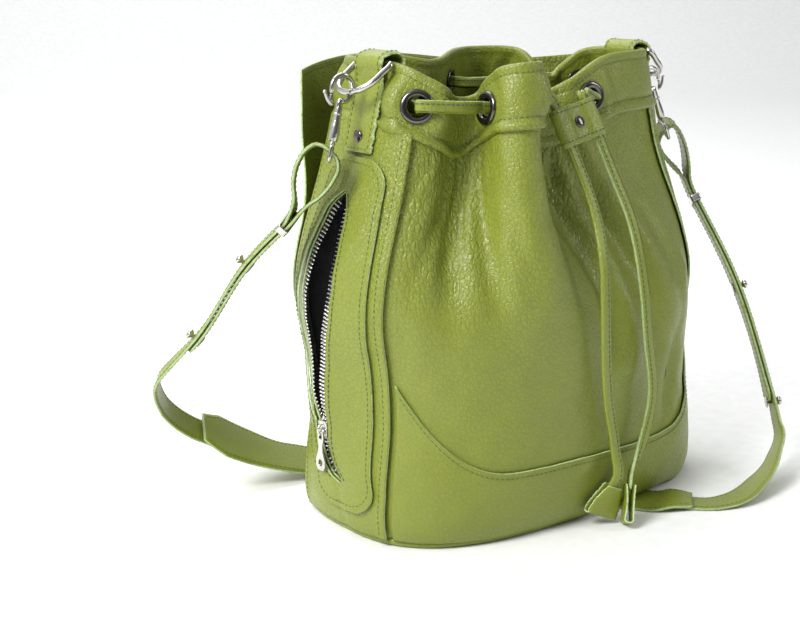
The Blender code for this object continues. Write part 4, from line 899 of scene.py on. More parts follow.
def lens(v):
    t = np.clip((np.asarray(v, float) - ZIP_OPEN_V) / (ZIP_V[1] - ZIP_OPEN_V), 0, 1)
    return np.sin(math.pi * t)**0.6


def slot_edge(v, side):
    v = np.asarray(v, float)
    ends = np.clip(ease((ZIP_V[1] - v) / 0.012) * ease((v - ZIP_V[0]) / 0.004), 0, 1)
    return ZIP_S - bow(v) + side * SLOT * np.sqrt(ends) - (OPEN_BACK * lens(v) if side < 0 else 0)


def edge_ridge(s, edge, size=0.0011, width=0.0060):
    """The turned edge of a panel stands a little proud beside its seam."""
    return size * np.exp(-((apart(s, edge) - 0.0015) / width)**2)


panel("front_body", span(UNDER, 0.5 - UNDER, 236), rise(WALL_V, PANEL_TOP, 168), 0.0, "front_panel")
panel("back_body", span(0.5 + UNDER, 1 - UNDER, 200), rise(WALL_V, PANEL_TOP, 140), 0.0, "back_panel")
s = span(0.5 - SEAM, 0.5 + SEAM, 80)
lift = LAP + edge_ridge(s, 0.5 - SEAM) + edge_ridge(s, 0.5 + SEAM)
panel("gusset_right", s, rise(WALL_V, PANEL_TOP, 160), lift, "right_gusset")

SLOT_V = np.unique(np.r_[
    np.linspace(ZIP_V[0] - 0.001, ZIP_V[0] + 0.006, 9), np.linspace(ZIP_V[0] + 0.006, 0.200, 104),
    np.linspace(0.200, ZIP_V[1] + 0.001, 14)])


def halves(name, sides, vs, lift, node, ridge=False):
    """A panel with the slumped zip slot, as a half behind the slot and one before it, welded past its ends."""
    v = vs[:, None]
    grids = []
    left, right = sides(v)
    for a, b in ((left, slot_edge(v, -1)), (slot_edge(v, 1), right)):
        s = a + (b - a) * np.linspace(0, 1, 40)[None, :]
        up = lift + (edge_ridge(s, -SEAM) + edge_ridge(s, SEAM) if ridge else 0)
        roll = np.exp(-((s - slot_edge(v, -1)) / 0.006)**2) + np.exp(-((s - slot_edge(v, 1)) / 0.006)**2)
        grids.append((s, np.broadcast_to(v, s.shape), up - 0.0004 * roll))
    pts = np.concatenate([skin(*q).reshape(-1, 3) for q in grids])
    marks = np.concatenate([creases(q[0], q[1]).ravel() for q in grids])
    n = len(vs)
    faces = np.concatenate([grid_faces(n, 40), grid_faces(n, 40) + n * 40])
    obj = build(name, pts, faces, [HIDE, RAW], weld=2e-6, attr=marks)
    place(thicken(obj, LEATHER, edged=True), "bag", [node])


def gusset_sides(v):
    return np.full(v.shape, -SEAM), np.full(v.shape, SEAM)


vs = np.unique(np.r_[
    np.linspace(WALL_V, ZIP_V[0] - 0.001, 18), SLOT_V, np.linspace(ZIP_V[1] + 0.001, PANEL_TOP, 26)])
halves("gusset_left", gusset_sides, vs, GUSSET_LAP, "left_gusset", True)


def facing_sides(v):
    low, high, half = FACING
    end = np.minimum(v - low, high - v)
    tuck = 0.020 * (1 - np.sqrt(np.clip(1 - (1 - np.minimum(end / 0.013, 1.0))**2, 0, 1)))
    return ZIP_S - half - 0.7 * bow(v) - 0.004 * lens(v) + tuck, ZIP_S + half - 0.2 * bow(v) - tuck


corner = 0.013 * (1 - np.cos(np.linspace(0, math.pi / 2, 12)))
vs = np.unique(np.r_[FACING[0] + corner, np.linspace(0.031, 0.0315, 2), SLOT_V, np.linspace(0.213, 0.219, 5),
                     FACING[1] - corner])
halves("facing", facing_sides, vs, FACING_LIFT, "zip_facing")


def lower_edge(s):
    side = np.abs(s - 0.25) / (0.25 - SEAM)
    return 0.046 + 0.062 * np.clip((side - 0.45) / 0.55, 0, 1)**2.2


s = span(SEAM + 0.005, 0.5 - SEAM - 0.005, 230)
t = rise(0.0, 1.0, 60)
v = WALL_V + (lower_edge(s) - WALL_V) * t
panel("lower_front", s, v, LOWER_LIFT + 0.0003 * np.exp(-((1 - t) / 0.05)**2) + 0 * s, "front_lower_panel")
panel("pocket_back", span(0.5 + SEAM + 0.006, 1 - SEAM - 0.006, 200), rise(0.006, 0.283, 150), POCKET_LIFT,
      "back_pocket", pocket_skin)

loop = []
for s in np.linspace(0, 1, 241)[:-1]:
    q = bare(s, 0.0) + normal(np.float64(s), np.float64(0.004), bare) * (0.0012, 0.0012, 0.0)
    loop.append((q[0], q[1], 0.00235 + max(q[2], 0.0)))
place(tube("welt", loop, 0.00225, [HIDE_PLAIN], cyclic=True), "bag", ["base_welt"])
for name, inset, z, thick, mat, node, slot in (
        ("base_leather", 0.0022, 0.0034, 0.0013, HIDE, "base_panel", "leather"),
        ("base_stiffener", 0.0050, 0.0052, 0.0020, TAPE, "base_board", "board")):
    ring = np.array([plain_skin(s, 0.0, -inset) for s in np.linspace(0, 1, 97)[:-1]])
    rows = [np.c_[ring[:, :2] * k, np.full(96, z)] for k in (1.0, 0.8, 0.5, 0.2)]
    middle = [[288 + (k + 1) % 96, 288 + k, 384] for k in range(96)]      # fan from the last ring to the centre
    obj = build(name, np.concatenate(rows + [np.array([[0, 0, z]])]),
                grid_faces(4, 96, loop_c=True)[:, ::-1].tolist() + middle, [mat])
    place(thicken(obj, thick), "bag", [node])

# ---------------------------------------------------------------- top band, folded over the rim
BAND_OUT = (      # height and lift, up the outer side and down the inner one
    (0.2513, 0.0012), (0.2510, 0.0026), (0.2514, 0.0040), (0.2524, 0.0047), (0.2540, 0.0049), (0.2555, 0.0044),
    (0.2568, 0.0033), (0.2580, 0.0026), (0.2600, 0.0026), (0.2620, 0.0030), (0.2660, 0.0033), (0.2700, 0.0034),
    (0.2740, 0.0034), (0.2780, 0.0032), (0.2815, 0.0028), (0.2838, 0.0024), (0.2855, 0.0028), (0.2875, 0.0031),
    (0.2888, 0.0026), (0.2895, 0.0015), (0.28965, 0.0005), (0.2894, -0.0006), (0.2886, -0.0014),
    (0.2860, -0.0018), (0.2838, -0.0015), (0.2800, -0.0018), (0.2740, -0.0019), (0.2680, -0.0019),
    (0.2620, -0.0018), (0.2570, -0.0016), (0.2530, -0.0012), (0.2517, -0.0004))
BAND_STITCHES = (0.2838, 0.2586)


def band_top(v):
    """Lift of the band's outer face."""
    k = np.array(BAND_OUT[1:20])
    return np.interp(v, k[:, 0], k[:, 1])


def holes(obj, rings, inner):
    """Open the hide under each eyelet; the flanges cover the cut."""
    bm = bmesh.new()
    bm.from_mesh(obj.data)
    gone = []
    for _, centre, axis in rings:
        c, a = Vector(centre), Vector(axis)
        for f in bm.faces:
            d = f.calc_center_median() - c
            h = d.dot(a)
            if abs(h) < 0.012 and (d - a * h).length < inner:
                gone.append(f)
    bmesh.ops.delete(bm, geom=list(set(gone)), context="FACES")
    bm.to_mesh(obj.data)
    bm.free()


prof = np.array(BAND_OUT)
fine = np.r_[0, np.cumsum(np.hypot(*np.diff(prof, axis=0).T))]
steps = np.interp(np.linspace(0, len(prof) - 1, 94), np.arange(len(prof)), fine)
PV = np.interp(steps, fine, prof[:, 0])
PL = np.interp(steps, fine, prof[:, 1])
for name, first, last, rings, node in (("band_front", 0.0012, 0.4988, EYELETS[:4], "top_band_front"),
                                       ("band_back", 0.5012, 0.9988, EYELETS[4:], "top_band_back")):
    s = np.linspace(first, last, 300)
    sg, vg = np.meshgrid(s, PV, indexing="ij")
    near = np.zeros(sg.shape)
    for es, _, _ in EYELETS:
        near = np.maximum(near, np.exp(-(signed(sg, es) / 0.018)**4) * np.exp(-((vg - EYELET_V) / 0.013)**4))
    up = PL[None, :] * (1 - near) + np.where(PL > 0.0005, 0.0028, -0.0017)[None, :] * near
    p = skin(sg, vg, up)
    faces = grid_faces(*sg.shape, loop_c=True).tolist()
    n = len(PV)
    faces += [list(range(n)), [(len(s) - 1) * n + k for k in range(n)][::-1]]
    obj = build(name, p.reshape(-1, 3), faces, [HIDE_TOP],
                attr=0.45 * creases(sg, np.full(sg.shape, 0.25)).ravel())
    mend(obj.data)
    holes(obj, rings, 0.0074)
    place(obj, "bag", [node])

ROLLED = (      # an eyelet's radius and height: washer behind, barrel, rolled flange in front
    (0.0053, -0.0024), (0.0057, -0.0029), (0.0076, -0.0031), (0.0085, -0.0029), (0.0087, -0.0025),
    (0.0082, -0.0022), (0.0061, -0.0021), (0.0060, 0.0024), (0.0096, 0.0029), (0.0101, 0.0034), (0.0100, 0.0042),
    (0.0092, 0.0049), (0.0080, 0.0052), (0.0068, 0.0050), (0.0059, 0.0044), (0.0054, 0.0035), (0.0053, 0.0024))
for k, (es, centre, axis) in enumerate(EYELETS):
    side, n = ("front", k + 1) if k < 4 else ("back", k - 3)
    place(lathe(f"ring_{side}_{n}", ROLLED, centre, axis, [DARK], 64), "bag", [f"eyelet_{side}_{n}"])

# ---------------------------------------------------------------- lining and zip
def lining_lift(s, v):
    """The lining hangs inside the hide and passes behind the zip's pocket bag."""
    q = np.hypot(signed(s, -0.010) / 0.062, (v - 0.122) / 0.118)
    return -0.0032 - 0.024 * ease(1.6 * (1 - q)) - 0.0062 * ease((v - 0.08) / 0.06)


LINING_FLOOR, CLOTH = 0.0092, 0.0005
s, v = np.meshgrid(np.linspace(0, 1, 181)[:-1], np.linspace(LINING_FLOOR, 0.2480, 90))
slack = 0.0012 * (1 + np.sin(s * 150 + 4 * np.sin(30 * v))) * ease((v - 0.05) / 0.1)
p = plain_skin(s, v, lining_lift(s, v) - slack)
p[..., 2] = np.maximum(p[..., 2], LINING_FLOOR)
bottom = plain_skin(np.linspace(0, 1, 181)[:-1], 0.0090, -0.0011)
floor_rows = [np.c_[bottom[:, :2] * k, np.full(180, LINING_FLOOR)] for k in (0.02, 0.4, 0.8, 0.93)]
obj = build("lining_cloth", np.concatenate(floor_rows + [p.reshape(-1, 3)]),
            grid_faces(len(floor_rows) + 90, 180, loop_c=True), [LINING])
place(thicken(obj, CLOTH), "bag", ["lining"])

pts, around = [], 72
rings = ((1.00, 0.0016), (0.97, 0.0034), (0.93, 0.0050), (0.85, 0.0090), (0.76, 0.0120), (0.60, 0.0155),
         (0.45, 0.0180), (0.30, 0.0189), (0.16, 0.0192), (0.02, 0.0194))
for size, depth in rings:
    a = np.linspace(0, 2 * math.pi, around + 1)[:-1]
    s = ZIP_S - 0.023 + 0.033 * size * np.abs(np.cos(a))**0.8 * np.sign(np.cos(a))
    v = 0.1225 + 0.0970 * size * np.abs(np.sin(a))**0.8 * np.sign(np.sin(a))
    pts.append(plain_skin(s, v, -depth - 0.0006 * np.sin(5 * a + 9 * size)))
obj = build("zip_bag", np.concatenate(pts), grid_faces(len(rings), around, loop_c=True)[:, ::-1], [LINING])
place(thicken(obj, CLOTH), "bag", ["zip_pocket"])

CHAIN, TOOTH_PITCH = 0.0022, 0.00254      # lift of the chain; one tooth a side in each pitch


def zip_line(v, side, out):
    """Share of a line that runs out metres from the meeting edge of one side of the zip."""
    return ZIP_S - bow(v) + side * out / 0.75 - (OPEN_BACK * lens(v) if side < 0 else 0)


TOOTH = 0.001 * 1.08      # the sections' millimetres, set out to the corners of their eight sides
TAPE_SHAPE = ((0.0012, 0.0022), (0.0020, 0.0024), (0.0032, 0.0020), (0.0044, 0.0009), (0.0058, 0.0000),
              (0.0080, -0.0005), (0.0115, -0.0006), (0.0150, -0.0006))
for side, lip in ((1, "front"), (-1, "back")):
    v = np.linspace(0.034, 0.211, 190)
    p = np.stack([skin(zip_line(v, side, out), v, up) for out, up in TAPE_SHAPE], 1)
    f = grid_faces(len(v), len(TAPE_SHAPE))
    obj = build(f"tape_{lip}", p.reshape(-1, 3), f if side > 0 else f[:, ::-1], [TAPE])
    place(thicken(obj, 0.0007, 0.0), "bag", [f"zip_tape_{lip}"])

    v = np.linspace(0.0386, 0.2052, 700)
    line = skin(zip_line(v, side, 0.0), v, CHAIN)
    away = skin(zip_line(v, side, 0.0030), v, CHAIN) - line
    run = run_of(line)
    at = np.arange(0.0004 + (TOOTH_PITCH / 2 if side < 0 else 0.0), run[-1], TOOTH_PITCH)
    c, a = read(at, run, line), read(at, run, away)
    t = unit(read(at, run, np.gradient(line, run, axis=0)))
    a = unit(a - (a * t).sum(1, keepdims=True) * t)
    n = np.cross(t, a)
    # sections of a tooth: place out from its nose in metres, half width and half height in millimetres
    secs = ((-0.00095, 0.30, 0.42), (-0.0007, 0.56, 0.80), (0.0000, 0.64, 0.95), (0.0006, 0.52, 0.86),
            (0.0012, 0.70, 1.10), (0.0026, 0.82, 1.25), (0.0034, 0.78, 1.20), (0.0037, 0.55, 0.95))
    ang = np.radians((22, 68, 112, 158, 202, 248, 292, 338))
    block = []
    for x, wl, hh in secs:
        cu, su = np.cos(ang), np.sin(ang)
        block.append(c[:, None] + a[:, None] * x + t[:, None] * (cu * wl * TOOTH)[None, :, None]
                     + n[:, None] * (su * hh * TOOTH)[None, :, None])
    block = np.stack(block, 1).reshape(len(c), -1, 3)
    ring = grid_faces(len(secs), 8, loop_c=True)
    caps = [list(range(8))[::-1], [(len(secs) - 1) * 8 + k for k in range(8)]]
    faces = []
    for k in range(len(c)):
        faces += (ring + 64 * k).tolist() + [[q + 64 * k for q in cap] for cap in caps]
    obj = build(f"teeth_{lip}", block.reshape(-1, 3), faces, [ZIPMETAL])
    mend(obj.data)
    obj.data.set_sharp_from_angle(angle=math.radians(50))
    place(obj, "bag", [f"zip_teeth_{lip}"])

SLIDER_V = ZIP_OPEN_V - 0.0065
SLIDER_S = ZIP_S - bow(SLIDER_V)
ZIP_P = Vector(plain_skin(SLIDER_S, SLIDER_V, CHAIN))
ZIP_N = Vector(normal(np.float64(SLIDER_S), np.float64(SLIDER_V), flat))
ZIP_D = (Vector(plain_skin(ZIP_S - bow(0.056), 0.056)) - Vector(plain_skin(ZIP_S - bow(0.070), 0.070))).normalized()
ZIP_N = (ZIP_N - ZIP_D * ZIP_N.dot(ZIP_D)).normalized()
ZIP_W = ZIP_D.cross(ZIP_N)


def zip_at(w, d, n):
    """A place on the slider: across the chain, down it, and out of it."""
    return ZIP_P + ZIP_W * w + ZIP_D * d + ZIP_N * n


shield = [(-0.0044, -0.0050), (-0.0030, -0.0056), (0.0030, -0.0056), (0.0044, -0.0050), (0.0046, -0.0030),
          (0.0036, 0.0010), (0.0033, 0.0040), (0.0029, 0.0052), (0.0012, 0.0056), (-0.0012, 0.0056),
          (-0.0029, 0.0052), (-0.0033, 0.0040), (-0.0036, 0.0010), (-0.0046, -0.0030)]
ZIP_AXES = (ZIP_W, ZIP_D, ZIP_N)


def on_slider(obj, nodes=()):
    place(obj, "zip_slider_body", nodes)


on_slider(outline("slider", shield, zip_at(0, 0, 0.0022), ZIP_AXES, 0.0014, [ZIPMETAL], 0.0004), ["zip_slider"])
on_slider(outline("slider_under", shield, zip_at(0, 0, -0.0020), ZIP_AXES, 0.0012, [ZIPMETAL], 0.0003))
for k, side in ((-1, "l"), (1, "r")):
    side_wall = [zip_at(k * (0.0040 - 0.0008 * max(0.0, q)), 0.0046 * q, 0.0003) for q in np.linspace(-1, 1, 9)]
    on_slider(tube(f"slider_side_{side}", side_wall, 0.0008, [ZIPMETAL]))
bridge = [zip_at(0, 0.0036 * math.cos(a), 0.0024 + 0.0040 * math.sin(a))
          for a in np.linspace(-0.12, math.pi + 0.12, 25)]
on_slider(tube("slider_bridge", bridge, 0.00078, [ZIPMETAL]))

PULL_D = (Vector(plain_skin(SLIDER_S, 0.045)) - Vector(plain_skin(SLIDER_S, 0.065))).normalized() + ZIP_N * 0.10
PULL_D = PULL_D.normalized()
PULL_W = PULL_D.cross(ZIP_N).normalized()
PULL_U = PULL_W.cross(PULL_D)
PULL_AT = zip_at(0, 0, 0.0043)
half = [(0.0022, -0.0008), (0.0029, -0.0003), (0.0030, 0.0055), (0.0028, 0.0072), (0.0021, 0.0090),
        (0.0020, 0.0115), (0.0024, 0.0140), (0.0036, 0.0165), (0.0044, 0.0188), (0.0046, 0.0212),
        (0.0044, 0.0235), (0.0035, 0.0254), (0.0018, 0.0262)]
shape = half + [(-x, y) for x, y in half[::-1]]
eye = [(0.0021 * math.cos(a), 0.0212 + 0.0021 * math.sin(a)) for a in np.linspace(0, 2 * math.pi, 33)[:-1]]
gap = [(-0.0016, 0.0010), (0.0016, 0.0010), (0.0016, 0.0056), (-0.0016, 0.0056)]
place(outline("pull", shape, PULL_AT, (PULL_W, PULL_D, PULL_U), 0.0013, [ZIPMETAL], 0.00028, (eye, gap)),
      "zip_pull_body", ["zip_pull"])
stop = [(-0.0028, -0.0010), (0.0028, -0.0010), (0.0028, 0.0010), (-0.0028, 0.0010)]
STOP_V = 0.0368
place(outline("bottom_stop", stop, Vector(skin(ZIP_S - bow(STOP_V), STOP_V, CHAIN)), ZIP_AXES, 0.0024, [ZIPMETAL],
              0.0004), "bag", ["zip_bottom_stop"])

# ---------------------------------------------------------------- tabs, D-rings, swivel hooks
def side_gear(side, tag, s0, ring_dir, hook_dir, eye_w):
    """Everything that hangs at one end of the mouth; returns what the strap needs to meet it."""
    out, w = Vector((side, 0, 0)), Vector((0, 1, 0))
    base = Vector(plain_skin(s0, EYELET_V, 0.0))

    def turned(name, profile, centre, axis, body, segments=40, nodes=(), mat=NICKEL):
        place(lathe(name, profile, centre, axis, [mat], segments), body, nodes)

    def wall(v, lift):
        q = plain_skin(s0, v, lift)
        return Vector((q[0], base.y, q[2]))

    rim = Vector(plain_skin(s0, RIM_V, 0.0))
    bar = Vector((rim.x + side * 0.0062, base.y, rim.z - 0.0020))
    route = [wall(0.2345, 0.0064), wall(0.2440, 0.0064), wall(0.2540, 0.0064), wall(0.2640, 0.0062),
             wall(0.2740, 0.0060), bar + out * 0.0034 - UP * 0.0036, bar + out * 0.0040 + UP * 0.0004,
             bar + out * 0.0026 + UP * 0.0036, bar - out * 0.0010 + UP * 0.0054,
             rim - out * 0.0040 + UP * 0.0032, rim - out * 0.0064 + UP * 0.0002,
             wall(0.2840, -0.0066), wall(0.2780, -0.0064)]
    path = smooth_path(route, [w] * len(route), 120)
    i = np.arange(120)
    width = 0.0268 + 0.0007 * np.sin(i * 0.62) + 0.0004 * np.sin(i * 1.5)
    width[:3] -= (0.0024, 0.0010, 0.0003)
    obj = strip(f"tab_{tag}", path, width, 0.0023, [HIDE_PLAIN, RAW], wave=0.00020)
    place(obj, "bag", [f"{tag}_tab"])
    p, ws, t = path
    n = np.cross(t, ws)
    thread = Stitches(f"tab_{tag}_thread", slot="edged_leather")
    proud = 0.00118
    for sg in (-1, 1):
        for top in (-1, 1):
            thread.along(p[3:-3] + ws[3:-3] * sg * 0.0108 + n[3:-3] * top * proud, n[3:-3] * top)
    lower = p[3] + ws[3] * np.linspace(-0.0105, 0.0105, 12)[:, None] + n[3] * np.sign((n[3] * out).sum()) * proud
    thread.along(lower, np.tile(np.array(out), (12, 1)))
    thread.lay()
    turned(f"tab_{tag}_rivet", [
        (0, -0.0010), (0.0012, -0.0010), (0.0012, 0.0009), (0.0036, 0.0010), (0.0040, 0.0014), (0.0038, 0.0020),
        (0.0029, 0.0026), (0.0015, 0.0029), (0, 0.0030)], wall(0.2440, 0.0064), out, "bag",
        nodes=[f"{tag}_tab_rivet"], mat=DARK)

    g = Vector(ring_dir).normalized()
    half, length = 0.0163, 0.0254
    pts = [bar + w * half, bar + g * 0.0100 + w * half]
    pts += arc(bar + g * (length - half * 0.85), w, g * 0.85, half, 8, 172, 13)
    pts += [bar + g * 0.0100 - w * half, bar - w * half, bar - w * half * 0.5, bar, bar + w * half * 0.5]
    place(tube(f"dring_{tag}", pts, 0.00192, [NICKEL], cyclic=True, count=110), f"{tag}_ring", [f"{tag}_d_ring"])
    bottom = bar + g * length

    h = Vector(hook_dir).normalized()
    q = w.cross(h).normalized() * -side
    claw_r, wire_r = 0.0075, 0.0017
    centre = bottom + h * 0.0034 if side > 0 else bottom + Vector((-0.0026, 0, 0.0021))
    mouth_deg = 62
    claw = arc(centre, h, q, claw_r, mouth_deg, 360, 22)
    neck = [centre + h * d for d in (0.0100, 0.0125, 0.0150, 0.0185, 0.0225, 0.0262, 0.0290, 0.0310)]
    widths = [0.70 + 0.34 * min(1.0, k / 8) for k in range(22)] + [1.12, 1.25, 1.30, 1.42, 1.66, 1.78, 1.72, 1.45]
    place(tube(f"hook_{tag}_claw", claw + neck, wire_r, [NICKEL], radii=widths, count=120, sides=6),
          f"{tag}_ring", [f"{tag}_hook"])
    post_at = centre + h * 0.0310
    turned(f"hook_{tag}_collar", [
        (0, 0.0002), (0.0023, 0.0004), (0.0027, 0.0009), (0.0024, 0.0015), (0.0011, 0.0017), (0, 0.0017)],
        post_at - h * 0.0020, h, f"{tag}_ring")
    turned(f"hook_{tag}_bead", [(0, -0.0010), (0.0024, -0.0007), (0.0028, 0.0), (0.0024, 0.0007), (0, 0.0010)],
           centre + h * 0.0150, h, f"{tag}_ring")
    tip = centre + (h * math.cos(math.radians(mouth_deg)) + q * math.sin(math.radians(mouth_deg))) * claw_r
    pivot = centre + h * 0.0100 + q * 0.0045
    lever = [tip - (tip - pivot) * 0.12 + q * 0.0004, tip + (pivot - tip) * 0.6 + q * 0.0012, pivot + q * 0.0010,
             pivot + q * 0.0042 - h * 0.0020, pivot + q * 0.0072 - h * 0.0060]
    place(tube(f"gate_{tag}", lever, 0.0010, [NICKEL], radii=[0.8, 0.9, 1.15, 1.0, 0.8], count=40), f"{tag}_gate",
          [f"{tag}_trigger"])
    turned(f"gate_{tag}_thumb", [(0, -0.0008), (0.0009, -0.0007), (0.0012, 0.0), (0.0009, 0.0009), (0, 0.0011)],
           lever[-1], lever[-1] - lever[-2], f"{tag}_gate", 32)

    ew = Vector(eye_w)
    ew = (ew - h * ew.dot(h)).normalized()
    mid = post_at + h * 0.0064
    loop, corner_r = [], 0.0026
    for cx, cy, a0 in ((1, -1, -90), (1, 1, 0), (-1, 1, 90), (-1, -1, 180)):
        loop += arc(mid + ew * cx * 0.0092 + h * cy * corner_r, ew, h, corner_r, a0, a0 + 90, 7)
    place(tube(f"eye_{tag}_bar", loop, 0.0012, [NICKEL], cyclic=True), f"{tag}_eye", [f"{tag}_swivel_eye"])
    turned(f"eye_{tag}_post", [
        (0, -0.0046), (0.0010, -0.0046), (0.0010, 0.0004), (0.0017, 0.0008), (0.0019, 0.0016), (0.0013, 0.0022),
        (0, 0.0023)], post_at, h, f"{tag}_eye", 32)
    return {"h": h, "post": post_at, "eye": mid, "ew": ew}


LEFT = side_gear(-1, "left", 0.008, (-0.0199, 0, -0.0158), (-0.23, 0, -0.973), VIEW_W)
RIGHT = side_gear(1, "right", 0.498, (0.0187, 0, -0.0172), (0.40, 0, -0.915), VIEW_W)

# ---------------------------------------------------------------- shoulder strap
LEFT_LEG = ((-0.1735, 0.042, 0.166), (-0.193, 0.068, 0.119))
RIGHT_LEG = ((0.167, -0.055, 0.126), (0.175, -0.085, 0.046))
LEFT_RUN = (((-0.203, 0.082, 0.101), (0.60, 0.79, 0.10)), ((-0.209, 0.095, 0.085), (0.60, 0.78, 0.20)),
            ((-0.202, 0.102, 0.068), (0.55, 0.75, 0.35)), ((-0.185, 0.105, 0.051), (0.45, 0.75, 0.48)),
            ((-0.164, 0.104, 0.038), (0.35, 0.80, 0.50)))
PAD_RUN = (((-0.1730, 0.1028, 0.0472), (0.38, 0.78, 0.50)), ((-0.1628, 0.1022, 0.0404), (0.35, 0.80, 0.50)),
           ((-0.138, 0.103, 0.026), (0.33, 0.85, 0.42)), ((-0.112, 0.100, 0.014), (0.30, 0.90, 0.28)),
           ((-0.091, 0.098, 0.0075), (0.40, 0.88, 0.20)), ((-0.073, 0.088, 0.0024), (0.70, 0.70, 0.05)),
           ((-0.058, 0.072, 0.00105), (0.81, 0.58, 0)), ((-0.030, 0.040, 0.00105), (0.81, 0.58, 0)),
           ((0.0, 0.0, 0.00105), (0.85, 0.53, 0)), ((0.028, -0.050, 0.00105), (0.86, 0.51, 0)),
           ((0.046, -0.080, 0.00105), (0.83, 0.56, 0)), ((0.055, -0.0915, 0.0012), (0.80, 0.60, 0)),
           ((0.0605, -0.0975, 0.0034), (0.79, 0.61, 0)), ((0.070, -0.1080, 0.0034), (0.78, 0.62, 0)))
RIGHT_RUN = (((0.168, -0.097, 0.029), (0.55, 0.70, -0.45)), ((0.148, -0.110, 0.018), (0.35, 0.80, -0.50)),
             ((0.121, -0.120, 0.0090), (0.15, 0.95, -0.25)), ((0.095, -0.1225, 0.0030), (0.40, 0.90, 0)),
             ((0.080, -0.1165, 0.00108), (0.70, 0.70, 0)), ((0.070, -0.1080, 0.00108), (0.78, 0.62, 0)),
             ((0.0625, -0.0995, 0.00108), (0.79, 0.61, 0)))
STUD = ((0, -0.0036), (0.0034, -0.0035), (0.0040, -0.0032), (0.0040, -0.0028), (0.0014, -0.0026), (0.0013, 0.0034),
        (0.0018, 0.0040), (0.0028, 0.0048), (0.0032, 0.0057), (0.0029, 0.0067), (0.0020, 0.0074), (0, 0.0077))


def strap_thread(name, path, half, inset, body, skip):
    """Two rows of stitches on each face of a strap."""
    p, w, t = path
    n = np.cross(t, w)
    thread = Stitches(name, body=body, slot="strap_leather")
    off = (np.broadcast_to(half, (len(p),)) - inset)[:, None]
    for sg in (-1, 1):
        for top in (-1, 1):
            thread.along((p + w * sg * off + n * top * (STRAP_T / 2 - 0.00005))[skip:-skip], (n * top)[skip:-skip])
    return thread.lay()


def swing(obj):
    """Bakes the strap's placement into its mesh; the strap itself bends from the swivel eye down to where it hangs
    beside the bag.
    """
    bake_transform(obj)


def end_strap(tag, gear, side, legs, run, keeper, loop, tail):
    """A strap's end: up from the pad, through the keeper and the swivel eye, and back down beside itself for
    the length tail. The keeper and the loop's points are in millimetres from the eye, across and up."""
    left = Vector((0.794, -0.607, 0)) * side
    e = gear["eye"]

    def near(a, z):
        return e + left * a * 0.001 + UP * z * 0.001

    axis_pts = [near(*keeper)] + [Vector(q) for q in legs] + [Vector(run[0][0])]
    widths = [VIEW_W, VIEW_W, VIEW_W, Vector(run[0][1])]
    p, w, t = smooth_path(axis_pts, widths, 19)
    n = np.cross(t, w) * side
    off = STRAP_T / 2 + 0.00028
    end = int(np.argmin(np.abs(run_of(p) - tail)))
    inner = [(p[i] - n[i] * off, w[i]) for i in range(end, 0, -1)]
    outer = [(p[i] + n[i] * off, w[i]) for i in range(1, len(p) - 1)]
    flat_w = np.array(gear["ew"])
    drop = [(np.array(near(*q)), flat_w) for q in loop]
    rest = [(np.array(q) + n[-1] * off * max(0.0, 1 - i / 2), np.array(u)) for i, (q, u) in enumerate(run)]
    whole = inner + drop + outer + rest
    path = smooth_path([q for q, _ in whole], [u for _, u in whole], each=6)
    run_at = run_of(path[0])
    width = STRAP_W - 0.0090 * (1 - np.sqrt(np.clip(1 - (1 - run_at / 0.010)**2, 0, 1))) * (run_at < 0.010)
    obj = strip(f"strap_{tag}", path, width, STRAP_T, [HIDE_STRAP, RAW_DEEP], wave=0.00008)
    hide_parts(f"{tag}_strap")
    swing(obj)
    swing(strap_thread(f"strap_{tag}_thread", path, STRAP_W / 2, 0.0024, None, 3))
    for j, q in enumerate(legs):
        i = int(np.argmin(np.linalg.norm(p - np.array(q), axis=1)))
        place(lathe(f"stud_{tag}_{j + 1}", STUD, p[i], n[i], [NICKEL], 36), "bag", [f"{tag}_stud_{j + 1}"])
    c, u, d, m = (p[1] + p[2]) / 2, w[1], t[1], n[1]
    ring = []
    for x, y in ((1, -1), (1, 1), (-1, 1), (-1, -1)):
        for a in np.linspace(-45, 45, 7):
            turn = math.radians(a + (45 if x * y > 0 else -45) + (0 if x > 0 else 180))
            ring.append(c + u * (x * 0.0106 + 0.0012 * math.cos(turn)) + m * (y * 0.0020 + 0.0012 * math.sin(turn)))
    place(strip(f"loop_{tag}", hoop(ring, d), 0.0048, 0.0011, [NICKEL, NICKEL], closed=True), f"{tag}_loop",
          [f"{tag}_keeper"])


end_strap("left", LEFT, -1, LEFT_LEG, LEFT_RUN, (19.0, -34.5), (
    (14.0, -31.5), (6.0, -25.5), (-1.0, -17.0), (-4.2, -9.0), (-3.2, -3.6), (0.0, 0.3), (3.6, 3.2), (8.5, 4.6),
    (14.0, 1.6), (19.6, -7.0), (22.0, -18.0), (21.8, -27.0)), 0.118)
end_strap("right", RIGHT, 1, RIGHT_LEG, RIGHT_RUN, (17.2, -38.0), (
    (13.5, -33.0), (6.5, -26.0), (-0.6, -17.5), (-4.4, -9.0), (-3.2, -3.4), (0.0, 0.3), (3.4, 3.0), (7.4, 1.6),
    (11.6, -4.6), (15.2, -14.0), (17.4, -25.0), (18.2, -32.0)), 0.166)
path = smooth_path([q for q, _ in PAD_RUN], [u for _, u in PAD_RUN], 260)
pad_run, taper = run_of(path[0]), 0.016
pad_width = PAD_W * np.interp(pad_run, (0, taper, pad_run[-1] - taper, pad_run[-1]), (0.66, 1, 1, 0.66))
place(strip("pad", path, pad_width, STRAP_T, [HIDE_STRAP, RAW_DEEP], wave=0.00006), "bag", ["strap_pad"])
strap_thread("pad_thread", path, pad_width / 2, 0.0028, "bag", 2)

# ---------------------------------------------------------------- drawstring and cinch
def eyelet_at(k, lift):
    return Vector(EYELETS[k][1]) + Vector(EYELETS[k][2]) * lift


